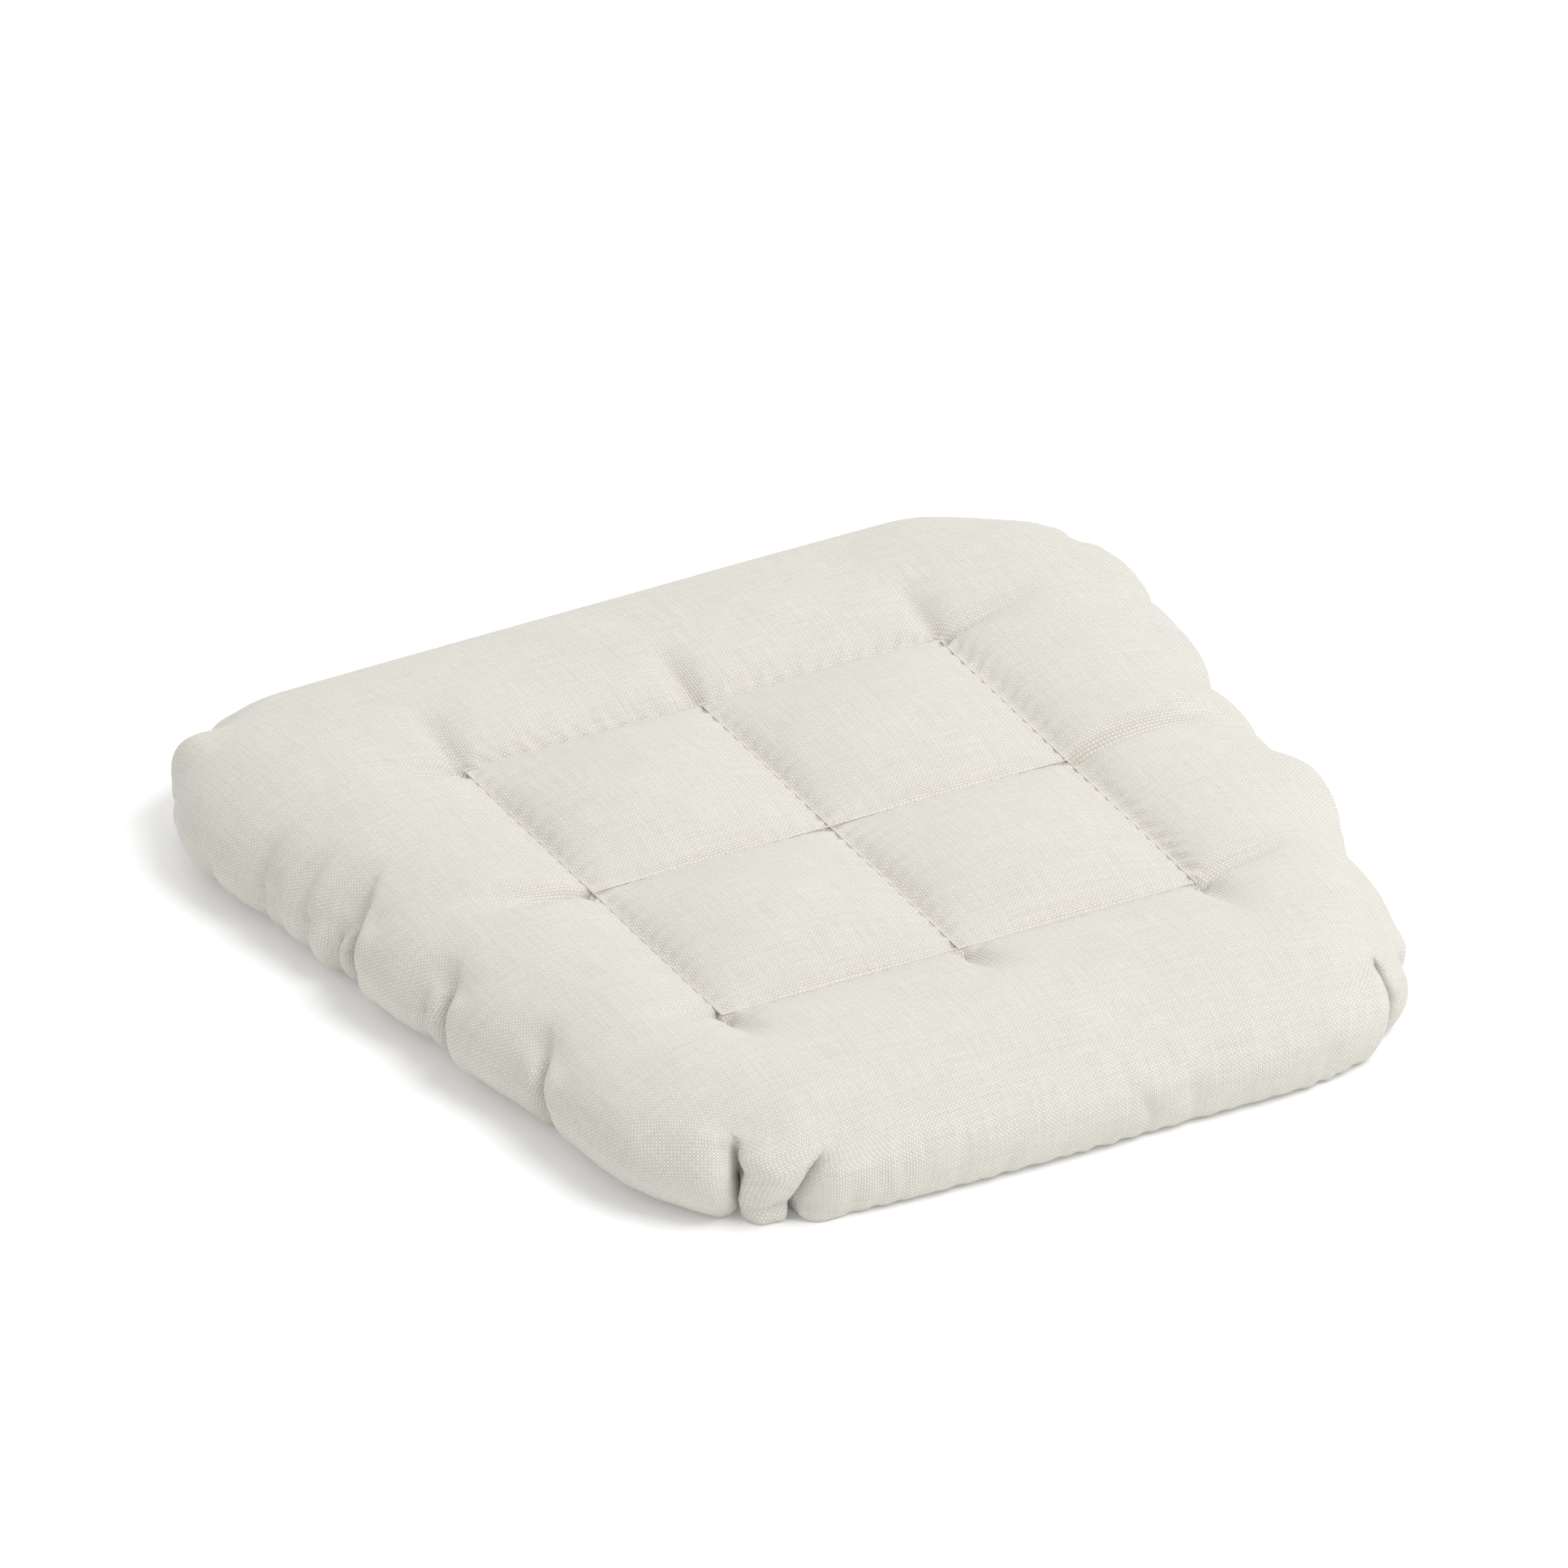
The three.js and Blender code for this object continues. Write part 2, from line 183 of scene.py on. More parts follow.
# ---- folds ----
# Gathers where the cover is drawn in under the pad: the side and the place along it where the
# gather begins, the shares of the way from the seam (0) to the hem (1) where it begins and is at
# its deepest, its depth, its widths before and after the crease going round front, left, rear
# and right, and how far it has moved round by its deepest.
GATHERS = [
    ("left", 0.120, 0.66, 0.80, 0.0050, 0.006, 0.002, 0.002),
    ("left", 0.097, 0.52, 0.74, 0.0060, 0.008, 0.003, 0.010),
    ("left", 0.084, 0.60, 0.78, 0.0045, 0.005, 0.0022, 0.008),
    ("left", 0.072, 0.50, 0.74, 0.0070, 0.007, 0.003, 0.014),
    ("left", 0.053, 0.44, 0.74, 0.0145, 0.013, 0.0024, 0.028),
    ("left", 0.040, 0.60, 0.78, 0.0050, 0.0035, 0.0024, -0.004),
    ("left", -0.020, 0.52, 0.74, 0.0120, 0.011, 0.0022, 0.013),
    ("left", -0.016, 0.62, 0.78, 0.0050, 0.003, 0.0020, 0.003),
    ("left", -0.083, 0.51, 0.75, 0.0105, 0.012, 0.0026, 0.012),
    ("left", -0.100, 0.68, 0.82, 0.0040, 0.004, 0.003, 0.004),
    ("rear", -0.098, 0.66, 0.84, 0.0016, 0.003, 0.004, 0.004),
    ("rear", -0.087, 0.66, 0.80, 0.0018, 0.003, 0.003, 0.004),
    ("rear", -0.077, 0.62, 0.80, 0.0022, 0.003, 0.004, 0.003),
    ("rear", -0.067, 0.64, 0.82, 0.0014, 0.003, 0.004, 0.002),
    ("rear", -0.052, 0.62, 0.82, 0.0016, 0.005, 0.005, 0.002),
    ("rear", -0.029, 0.70, 0.86, 0.0018, 0.004, 0.004, 0.0),
    ("rear", 0.020, 0.66, 0.80, 0.0030, 0.004, 0.003, 0.010),
    ("rear", 0.044, 0.66, 0.82, 0.0030, 0.003, 0.006, 0.004),
    ("rear", 0.070, 0.70, 0.84, 0.0015, 0.004, 0.004, 0.0),
    ("rear", 0.106, 0.68, 0.82, 0.0035, 0.004, 0.005, 0.0),
    ("right", -0.095, 0.66, 0.82, 0.0060, 0.004, 0.009, 0.0),
    ("right", -0.072, 0.66, 0.80, 0.0030, 0.004, 0.007, 0.0),
    ("right", -0.010, 0.64, 0.80, 0.0070, 0.004, 0.010, 0.006),
    ("right", 0.026, 0.52, 0.74, 0.0100, 0.006, 0.011, 0.004),
    ("right", 0.064, 0.66, 0.82, 0.0045, 0.004, 0.008, 0.0),
    ("right", 0.096, 0.58, 0.74, 0.0055, 0.003, 0.007, 0.0),
    ("front", 0.112, 0.66, 0.82, 0.0055, 0.004, 0.009, -0.004),
    ("front", 0.066, 0.64, 0.80, 0.0040, 0.006, 0.004, 0.0),
    ("front", 0.050, 0.68, 0.82, 0.0025, 0.004, 0.004, 0.0),
    ("front", 0.008, 0.62, 0.80, 0.0075, 0.009, 0.004, 0.006),
    ("front", -0.046, 0.64, 0.82, 0.0045, 0.006, 0.004, 0.0),
    ("front", -0.072, 0.68, 0.82, 0.0025, 0.004, 0.004, 0.0),
    ("front", -0.104, 0.64, 0.80, 0.0060, 0.008, 0.004, 0.004),
]
# Pleats that take up the cover at the corners and on the left side: the place, how far the pleat
# moves round on its way to the hem, the share of the way down where it opens, half the length of
# cloth it hides, the width of its mouth, and how far it turns under (+ is onwards round the rim).
PLEATS = [
    ("facing", -128, 0.002, 0.580, 0.0120, 0.0056, 0.50),
    ("facing", -97, -0.013, 0.640, 0.0110, 0.0018, -0.8),
    ("facing", -50, -0.009, 0.585, 0.0105, 0.0058, 0.5),
    ("facing", -25, 0.004, 0.680, 0.0080, 0.0014, -0.8),
    ("facing", 22, 0.004, 0.620, 0.0100, 0.0020, 0.7),
    ("facing", 62, -0.006, 0.650, 0.0100, 0.0014, -0.8),
    ("facing", 116, 0.006, 0.660, 0.0090, 0.0014, 0.8),
    ("facing", 148, -0.004, 0.730, 0.0080, 0.0012, -0.8),
    ("left", 0.034, 0.010, 0.600, 0.0042, 0.0010, 0.8),
    ("left", -0.027, 0.008, 0.610, 0.0040, 0.0010, 0.8),
    ("left", -0.089, 0.007, 0.600, 0.0036, 0.0010, 0.8),
    ("left", 0.046, -0.006, 0.680, 0.0026, 0.0008, -0.8),
]
PLEAT_REACH = 0.040  # how far from a pleat the cover is drawn towards it
PLEAT_LIP = 0.0016  # rounding of a pleat's mouth
PLEAT_LIP_REACH = 0.0022
PLEAT_SWELL = 0.0016  # how far the cover stands out beside a pleat
PLEAT_DIMPLE = 0.0018  # how far it sinks where a pleat starts
CREASE_ROUNDING = 0.0008  # at the bottom of a gather
# Where the border stands fuller or slacker than its neighbours: the place, how far the change
# reaches before and after it, how far the border stands out, and where it does so on the way from
# the seam (0) to the hem (1), with its reach there.
SWELLS = [
    ("right", -0.044, 0.036, 0.013, 0.0085, 0.70, 0.16),
    ("right", 0.062, 0.016, 0.018, 0.0012, 0.70, 0.16),
    ("right", -0.095, 0.020, 0.020, -0.0030, 0.70, 0.16),
    ("facing", -14, 0.018, 0.018, -0.0030, 0.70, 0.16),
    ("facing", 20, 0.018, 0.018, -0.0025, 0.65, 0.16),
    ("facing", 47, 0.020, 0.020, -0.0022, 0.58, 0.16),
    ("facing", 122, 0.016, 0.012, -0.0015, 0.62, 0.16),
    ("facing", 139, 0.010, 0.010, 0.0045, 0.64, 0.07),
    ("facing", 156, 0.012, 0.014, -0.0020, 0.76, 0.12),
    ("facing", -112, 0.024, 0.028, -0.0090, 0.82, 0.17),
    ("facing", -38, 0.014, 0.014, -0.0045, 0.68, 0.14),
    ("left", 0.034, 0.0045, 0.0040, 0.0055, 0.70, 0.09),
    ("left", 0.062, 0.0050, 0.0050, 0.0030, 0.68, 0.08),
    ("left", -0.025, 0.0040, 0.0036, 0.0050, 0.71, 0.08),
    ("left", -0.087, 0.0040, 0.0036, 0.0045, 0.71, 0.08),
    ("left", 0.000, 0.022, 0.018, 0.0030, 0.68, 0.16),
    ("left", -0.055, 0.020, 0.022, 0.0030, 0.68, 0.16),
    ("left", -0.135, 0.030, 0.030, 0.0030, 0.68, 0.16),
    ("rear", -0.118, 0.012, 0.014, 0.0020, 0.72, 0.16),
    ("rear", -0.020, 0.090, 0.090, 0.0020, 0.80, 0.12),
    ("rear", 0.080, 0.026, 0.020, 0.0015, 0.70, 0.16),
]
HEM_WAVES = 5  # superposed ripples along the hem
HEM_RIPPLE = 0.00035


def station_places():
    """Distances round the rim of the stations, closer together where there are pleats and creases."""
    sharp = [(rim_place(*pleat[:2]) + pleat[2] / 2, 2.6, 0.013) for pleat in PLEATS]
    sharp += [(rim_place(gather[0], gather[1]) + gather[7], 0.9, 0.012) for gather in GATHERS]
    places = []
    for side in range(4):
        along = side_starts[side] + along_sides[side]
        density = np.ones(OUTLINE_STEPS)
        for place, boost, reach in sharp:
            density += boost * np.exp(-((along - place) / reach) ** 2)
        filled = np.concatenate([[0], np.cumsum((density[1:] + density[:-1]) / 2)])
        wanted = np.arange(CELLS) / CELLS * filled[-1]
        places.append(np.interp(wanted, filled, along))
    return np.concatenate(places)


def outline_at(places):
    """Rim points and outward directions at distances round the rim."""
    rim = np.zeros((len(places), 2))
    out = np.zeros((len(places), 2))
    for side in range(4):
        own = (places >= side_starts[side]) & (places < side_starts[side + 1])
        rim[own], out[own] = side_outline(*side_pairs[side], places[own] - side_starts[side])
    return rim, out


def square_outline():
    """Points round the quilted square, one for each station."""
    signs = [(1, 1), (-1, 1), (-1, -1), (1, -1)]
    corners = [np.array([x * HALF_QUILT, y * HALF_QUILT + QUILT_SHIFT]) for x, y in signs]
    square = []
    for side in range(4):
        step = (corners[(side + 1) % 4] - corners[side]) / CELLS
        square += [corners[side] + step * i for i in range(CELLS)]
    return np.array(square)


round_at = station_places()
rim, out = outline_at(round_at)
square = square_outline()


# ---- heights of the upper face ----
def front_share(points):
    """How far a place belongs to the front edge and its flatter roll, from 0 to 1."""
    x, y = points[..., 0], points[..., 1]
    to_front = DEPTH / 2 - y
    to_rear = DEPTH / 2 + y
    half_width = FRONT_WIDTH / 2 - to_front * math.tan(LEAN)
    to_side = (half_width - np.abs(x)) * math.cos(LEAN)
    pull_of = [np.exp(-np.maximum(edge, 0) / EDGE_BLEND) for edge in (to_front, to_rear, to_side)]
    return pull_of[0] / np.maximum(sum(pull_of), 1e-12)


def roll_height(inset, front):
    width = ROLL_WIDTH + (FRONT_ROLL_WIDTH - ROLL_WIDTH) * front
    crown = CROWN - FRONT_DROP * front
    t = 1 - np.clip(inset / width, 0, 1)
    return RIM_HEIGHT + (crown - RIM_HEIGHT) * (1 - t ** ROLL_FULLNESS) ** (1 / ROLL_FULLNESS)


def cell_fullness(x, y):
    """0 on a quilting seam and 1 in the middle of a cell."""
    def rise(v):
        u = np.clip(np.abs(v) / HALF_QUILT, 0, 1)
        return (4 * u * (1 - u)) ** 0.68
    return rise(x) * rise(y)


def seam_pucker(along, away, depth=PUCKER_DEPTH):
    """How far the puckers between stitches lower the cloth beside a line of quilting."""
    wave = 0.5 + 0.5 * np.cos(2 * math.pi * along / PUCKER)
    near = smooth_step(0, 0.0012, away) * np.exp(-(away / 0.0048) ** 2)
    return depth * wave * near


# Where the quilting pulls the border down beyond the square: start x and y in half squares, the
# direction, the length of the valley and how deep it starts.
PULLS = [
    ((-1, 1), (0, 1), 0.046, 0.0060),
    ((-1, 1), (-1, 0), 0.042, 0.0055),
    ((0, 1), (0, 1), 0.048, 0.0070),
    ((1, 1), (0, 1), 0.044, 0.0052),
    ((1, 1), (1, 0), 0.050, 0.0054),
    ((1, 0), (1, 0), 0.100, 0.0090),
    ((1, -1), (1, 0), 0.044, 0.0065),
    ((1, -1), (0, -1), 0.042, 0.0060),
    ((0, -1), (0, -1), 0.038, 0.0070),
    ((-1, -1), (0, -1), 0.038, 0.0065),
    ((-1, -1), (-1, 0), 0.038, 0.0050),
    ((-1, 0), (-1, 0), 0.058, 0.0085),
]
PULL_WIDTH = 0.0080


def pull_depth(x, y):
    """How far the valleys beyond the seam ends lower the border."""
    depth = np.zeros_like(x)
    for (cx, cy), (dx, dy), length, deep in PULLS:
        px = x - cx * HALF_QUILT
        py = y - QUILT_SHIFT - cy * HALF_QUILT
        along = px * dx + py * dy
        across = np.abs(px * dy - py * dx)
        t = np.clip(along / length, 0, 1)
        width = PULL_WIDTH * (0.38 + 0.80 * t)
        fade = (1 - t ** 3) ** 2 * (along > -0.001)
        depth += deep * fade * np.exp(-(across / width) ** 1.5)
    return depth


def upper_height(points, along_seam):
    """Height of the border over plan points, and how far in from the rim they are."""
    inset, _ = inset_at(points)
    beyond_x = np.maximum(np.abs(points[..., 0]) - HALF_QUILT, 0)
    beyond_y = np.maximum(np.abs(points[..., 1] - QUILT_SHIFT) - HALF_QUILT, 0)
    away = np.hypot(beyond_x, beyond_y)
    near_rim = np.clip(1 - inset / 0.085, 0, 1)
    dip = (CROWN - SEAM_HEIGHT) * np.exp(-away / SEAM_PULL) * (1 - near_rim ** 2)
    plain = roll_height(inset, front_share(points)) - dip
    drawn = seam_pucker(along_seam, away) + pull_depth(points[..., 0], points[..., 1])
    return plain - drawn, plain


def cover_rings():
    """Rings from the square over the rim to the hem, their places on the flat pattern, and each
    ring's share of the way from the seam to the hem."""
    t = np.linspace(0, 1, UPPER_RINGS + 1)
    share = (1 - (1 - t) ** 1.5)[None, :, None]
    plan = square[:, None] + (rim - square)[:, None] * share
    sides = np.arange(STATIONS) // CELLS % 2
    along_seam = np.where(sides == 0, square[:, 0], square[:, 1] - QUILT_SHIFT)
    z, plain_z = upper_height(plan, along_seam[:, None])
    z[:, 0] = SEAM_HEIGHT
    upper = np.dstack([plan, z])
    angle = np.linspace(0, math.pi / 2, UNDER_RINGS)[1:]
    rear = np.maximum(-out[:, 1:2], 0) ** 2
    reach = UNDER_ROLL + (REAR_UNDER_ROLL - UNDER_ROLL) * rear
    inset = np.column_stack([reach * (1 - np.cos(angle)), np.full(STATIONS, HEM_INSET)])
    under_z = np.append(RIM_HEIGHT * (1 - np.sin(angle)), 0)
    under_plan = rim[:, None] - out[:, None] * inset[:, :, None]
    under = np.dstack([under_plan, np.repeat(under_z[None], STATIONS, 0)])
    rings = np.concatenate([upper, under], 1)
    plain_rings = np.concatenate([np.dstack([plan, plain_z]), under], 1)
    step = np.linalg.norm(np.diff(plain_rings, axis=1), axis=2)
    length = np.concatenate([np.zeros((STATIONS, 1)), np.cumsum(step, 1)], 1)
    # the cloth's spare length lies square to the quilting near it, and square to the rim there
    _, rim_facing = inset_at(plan)
    off_x = plan[:, :, 0] - np.clip(plan[:, :, 0], -HALF_QUILT, HALF_QUILT)
    own_y = plan[:, :, 1] - QUILT_SHIFT
    off_square = np.dstack([off_x, own_y - np.clip(own_y, -HALF_QUILT, HALF_QUILT)])
    off_square /= np.maximum(np.linalg.norm(off_square, axis=2, keepdims=True), 1e-9)
    outer = smooth_step(0.35, 0.8, share)
    facing = off_square * (1 - outer) + rim_facing * outer
    facing /= np.maximum(np.linalg.norm(facing, axis=2, keepdims=True), 1e-9)
    facing = np.concatenate([facing, np.repeat(out[:, None], UNDER_RINGS, 1)], 1)
    outwards = np.linalg.norm(np.diff(upper[:, :, :2], axis=1), axis=2)
    gone = np.column_stack([np.zeros(STATIONS), np.cumsum(outwards, 1)])
    gone = np.concatenate([gone, gone[:, -1:] - inset], 1)
    flat = rings[:, :, :2] + facing * (length - gone)[:, :, None]
    share_down = np.repeat((length / length[:, -1:]).mean(0)[None], STATIONS, 0)
    return rings, flat, share_down


def around_difference(value, place):
    """Signed distance round the rim from a place, the short way."""
    return (value - place + ROUND / 2) % ROUND - ROUND / 2


def ring_normals(rings):
    round_way = np.roll(rings, -1, 0) - np.roll(rings, 1, 0)
    outward = np.gradient(rings, axis=1)
    normal = np.cross(outward, round_way)
    return normal / np.maximum(np.linalg.norm(normal, axis=-1, keepdims=True), 1e-12)


def gather_depth(share_down, gain):
    """How far in the gathers, swells and hem ripples draw each point of the rings. gain makes the
    gathers deeper."""
    depth = np.zeros_like(share_down)
    for side, begins, start, end, deep, before, after, drift in GATHERS:
        t = np.clip((share_down - start) / (end - start), 0, 1)
        down = smooth_step(start, end, share_down)
        away = around_difference(round_at[:, None], rim_place(side, begins) + drift * t)
        low = smooth_step(0.70, 0.86, share_down)
        width = np.where(away < 0, before, after) * (0.65 + 0.5 * down) * (1 - 0.45 * low)
        rounded = np.hypot(away, CREASE_ROUNDING) - CREASE_ROUNDING
        shape = np.exp(-(rounded / width) ** 1.1)
        flat_under = 1 - 0.85 * smooth_step(0.80, 0.91, share_down)
        depth += gain * deep * down * (1 - 0.4 * low) * flat_under * shape
    for where, value, before, after, amount, share, share_reach in SWELLS:
        away = around_difference(round_at[:, None], rim_place(where, value))
        reach = np.where(away < 0, before, after)
        level = np.exp(-((share_down - share) / share_reach) ** 2)
        level = level * (1 - smooth_step(0.85, 0.97, share_down))
        depth -= amount * level * np.exp(-(away / reach) ** 2)
    random = np.random.default_rng(11)
    for _ in range(HEM_WAVES):
        count = random.integers(90, 190)
        phase = random.uniform(0, 2 * math.pi)
        swell = 0.5 + 0.5 * np.sin(random.integers(7, 23) * 2 * math.pi * round_at / ROUND + phase)
        ripple = np.sin(count * 2 * math.pi * round_at / ROUND + phase) * swell
        depth += HEM_RIPPLE * ripple[:, None] * smooth_step(0.72, 0.95, share_down)
    return depth


def pleat_moves(share_down):
    """Where each point lies round the rim once it follows its pleat (before), once the pleat is
    laid (after), and how deep it is then."""
    before = np.repeat(round_at[:, None], RINGS + 1, 1)
    fold = np.zeros_like(before)
    depth = np.zeros_like(before)
    for where, value, drift, start, hidden, mouth, turn in PLEATS:
        t = np.clip((share_down - start) / (0.85 - start), 0, 1)
        away = around_difference(round_at[:, None], rim_place(where, value))
        before += drift * t * np.exp(-(away / 0.032) ** 2)
        open_share = smooth_step(start, start + 0.075, share_down)
        tuck = hidden * open_share
        gap = mouth * smooth_step(start, start + 0.05, share_down) * (1 - 0.65 * t)
        inside = np.abs(away) < tuck
        sign = np.where(away < 0, -1, 1)
        stretch = (PLEAT_REACH - gap / 2) / (PLEAT_REACH - tuck)
        outside = sign * (gap / 2 + (np.abs(away) - tuck) * stretch)
        u = np.clip(np.abs(away) / np.maximum(tuck, 1e-6), 0, 1)
        deep = np.where(inside, np.maximum(tuck - gap / 2, 0) * (1 - u ** 1.4), 0)
        within = sign * gap / 2 * u ** 0.4 + turn * deep
        laid = (np.abs(away) < PLEAT_REACH) & (tuck > 1e-5)
        beyond = np.maximum(np.abs(outside) - gap / 2, 0)
        lip = PLEAT_LIP * np.exp(-beyond / PLEAT_LIP_REACH)
        lip = lip - PLEAT_SWELL * np.exp(-((beyond - 0.009) / 0.006) ** 2)
        fold = np.where(laid, fold + np.where(inside, within, outside) - away, fold)
        depth += np.where(laid, open_share * np.where(inside, deep + PLEAT_LIP, lip), 0)
        above_mouth = np.exp(-((share_down - start) / 0.05) ** 2 - (away / 0.010) ** 2)
        depth += PLEAT_DIMPLE * above_mouth
    return before, before + fold, depth


def slide_round(rings, moved, depth, normal):
    """The rings with each point moved round its ring and sunk along the inward normal."""
    result = rings.copy()
    span = np.concatenate([round_at, [ROUND]])
    for j in range(1, RINGS + 1):
        at = moved[:, j] % ROUND
        for axis in range(3):
            loop = np.append(rings[:, j, axis], rings[0, j, axis])
            face = np.append(normal[:, j, axis], normal[0, j, axis])
            result[:, j, axis] = np.interp(at, span, loop) - depth[:, j] * np.interp(at, span, face)
    return result


def square_grid():
    """The quilted square as a grid of points, with its cells' crowns."""
    line = np.linspace(-HALF_QUILT, HALF_QUILT, CELLS + 1)
    x, y = np.meshgrid(line, line, indexing="ij")
    z = SEAM_HEIGHT + CELL_CROWN * cell_fullness(x, y)
    for along, across, depth in ((x, y, WIDE_PUCKER_DEPTH), (y, x, PUCKER_DEPTH)):
        for seam in (-HALF_QUILT, 0, HALF_QUILT):
            z = z - seam_pucker(along, np.abs(across - seam), depth)
    return np.stack([x, y + QUILT_SHIFT, z], -1)


def boundary_indices(n):
    """Grid indices of the square's outer points, in the order of the stations."""
    front = [(n - i, n) for i in range(n)]
    left = [(0, n - i) for i in range(n)]
    rear = [(i, 0) for i in range(n)]
    right = [(n, i) for i in range(n)]
    return front + left + rear + right


def build_mesh(name, points, faces, uv=None):
    """A mesh object at the origin from points in the frame, with a flat-pattern UV for each point."""
    mesh = bpy.data.meshes.new(name)
    mesh.from_pydata([tuple(p) for p in points], [], faces)
    if uv is not None:
        layer = mesh.uv_layers.new(name="pattern")
        loops = np.zeros(len(mesh.loops), int)
        mesh.loops.foreach_get("vertex_index", loops)
        layer.data.foreach_set("uv", np.asarray(uv)[loops].astype(np.float32).ravel())
    mesh.polygons.foreach_set("use_smooth", [True] * len(mesh.polygons))
    mesh.update()
    piece = bpy.data.objects.new(name, mesh)
    scene.collection.objects.link(piece)
    return piece


def panel_faces(n, ring_count):
    """Faces of a square of n by n quads with rings of quads round it, and the rings' numbers."""
    width = n + 1
    faces = [
        (i * width + j, (i + 1) * width + j, (i + 1) * width + j + 1, i * width + j + 1)
        for i in range(n)
        for j in range(n)
    ]
    rings = [[i * width + j for i, j in boundary_indices(n)]]
    for number in range(ring_count):
        start = width * width + number * 4 * n
        rings.append(list(range(start, start + 4 * n)))
    for inner, outer in zip(rings, rings[1:]):
        for k in range(4 * n):
            after = (k + 1) % (4 * n)
            faces.append((inner[k], outer[k], outer[after], inner[after]))
    return faces, np.array(rings)


def panel_points(grid, rings):
    """The points of a square and its rings, in the order that panel_faces gives."""
    parts = [grid.reshape(-1, grid.shape[-1])]
    parts += [rings[:, j] for j in range(1, rings.shape[1])]
    return np.concatenate(parts)


# ---- cloth simulation ----
# The cloth is simulated on every second line of the cover, and its movement carried over.
FRAMES = 20
PRESSURE = 4
CELL_HOLD = 0.9  # how strongly the filling holds the cloth of the cells, 0 to 1
BORDER_HOLD = 0.2
FLANK_HOLD = 0.02
MOST_MOVE = 0.012
CUT_GAIN = 1.5  # the cut cloth's gathers against those it starts from, so there is cloth to spare


def held_weights(ring_numbers, count):
    """1 where the cover is sewn down, and less elsewhere, where only the filling holds it."""
    n = CELLS // 2
    weight = np.full(count, CELL_HOLD)
    for j in range(1, len(ring_numbers)):
        t = j / (len(ring_numbers) - 1)
        hold = CELL_HOLD + (BORDER_HOLD - CELL_HOLD) * min(t / 0.35, 1)
        hold += (FLANK_HOLD - BORDER_HOLD) * min(max((t - 0.35) / 0.25, 0), 1)
        weight[ring_numbers[j]] = round(hold, 2)
    for i in range(n + 1):
        for fixed in (0, n // 2, n):
            weight[i * (n + 1) + fixed] = 1
            weight[fixed * (n + 1) + i] = 1
    weight[ring_numbers[-2:].ravel()] = 1
    return weight


def simulate(piece, cut_points, weight):
    """How the cover moves when it swells and wrinkles as cloth cut to the size of cut_points."""
    count = len(piece.data.vertices)
    piece.shape_key_add(name="Basis")
    cut = piece.shape_key_add(name="cut")
    cut.data.foreach_set("co", cut_points.astype(np.float32).ravel())
    group = piece.vertex_groups.new(name="held")
    for value in np.unique(weight):
        group.add([int(i) for i in np.nonzero(weight == value)[0]], float(value), "REPLACE")
    cloth = piece.modifiers.new("cloth", "CLOTH")
    settings = cloth.settings
    settings.quality = 6
    settings.mass = 0.25
    settings.tension_stiffness = 40
    settings.compression_stiffness = 40
    settings.shear_stiffness = 15
    settings.bending_stiffness = 1.2
    settings.tension_damping = 8
    settings.compression_damping = 8
    settings.shear_damping = 6
    settings.bending_damping = 1
    settings.air_damping = 5
    settings.vertex_group_mass = "held"
    settings.pin_stiffness = 1.0
    settings.rest_shape_key = cut
    settings.use_pressure = True
    settings.uniform_pressure_force = PRESSURE
    settings.effector_weights.gravity = 0
    cloth.collision_settings.use_self_collision = False
    cloth.collision_settings.use_collision = False
    cloth.point_cache.frame_start = 1
    cloth.point_cache.frame_end = FRAMES
    before = np.zeros(count * 3, np.float32)
    piece.data.vertices.foreach_get("co", before)
    for number in range(1, FRAMES + 1):
        scene.frame_set(number)
    shown = piece.evaluated_get(bpy.context.evaluated_depsgraph_get())
    after = np.zeros(count * 3, np.float32)
    shown.data.vertices.foreach_get("co", after)
    move = (after - before).reshape(-1, 3)
    length = np.linalg.norm(move, axis=1, keepdims=True)
    scene.frame_set(1)
    return move * np.minimum(1, MOST_MOVE / np.maximum(length, 1e-9))


def doubled(field, axis, closed):
    """The field with a value put in between each pair of neighbours along an axis, and smoothed."""
    field = np.moveaxis(field, axis, 0)
    after = np.roll(field, -1, 0) if closed else field[1:]
    middle = (field[:len(after)] + after) / 2
    result = np.empty((len(field) + len(middle), *field.shape[1:]))
    result[0::2] = field
    result[1::2] = middle
    smooth = result.copy()
    smooth[1:-1] = (result[:-2] + 2 * result[1:-1] + result[2:]) / 4
    if closed:
        smooth[0] = (result[-1] + 2 * result[0] + result[1]) / 4
        smooth[-1] = (result[-2] + 2 * result[-1] + result[0]) / 4
    return np.moveaxis(smooth, 0, axis)


def cloth_movement(grid, start_rings, cut_rings):
    """The simulated movement of the square and of the rings."""
    n = CELLS // 2
    coarse_faces, coarse_numbers = panel_faces(n, RINGS // 2)
    points = panel_points(grid[::2, ::2], start_rings[::2, ::2])
    cut_points = panel_points(grid[::2, ::2], cut_rings[::2, ::2])
    trial = build_mesh("cloth_trial", points, coarse_faces)
    move = simulate(trial, cut_points, held_weights(coarse_numbers, len(points)))
    bpy.data.objects.remove(trial)
    square_move = move[:(n + 1) ** 2].reshape(n + 1, n + 1, 3)
    ring_move = np.stack([move[numbers] for numbers in coarse_numbers], 1)
    square_move = doubled(doubled(square_move, 0, False), 1, False)
    ring_move = doubled(doubled(ring_move, 0, True), 1, False)
    return square_move, ring_move


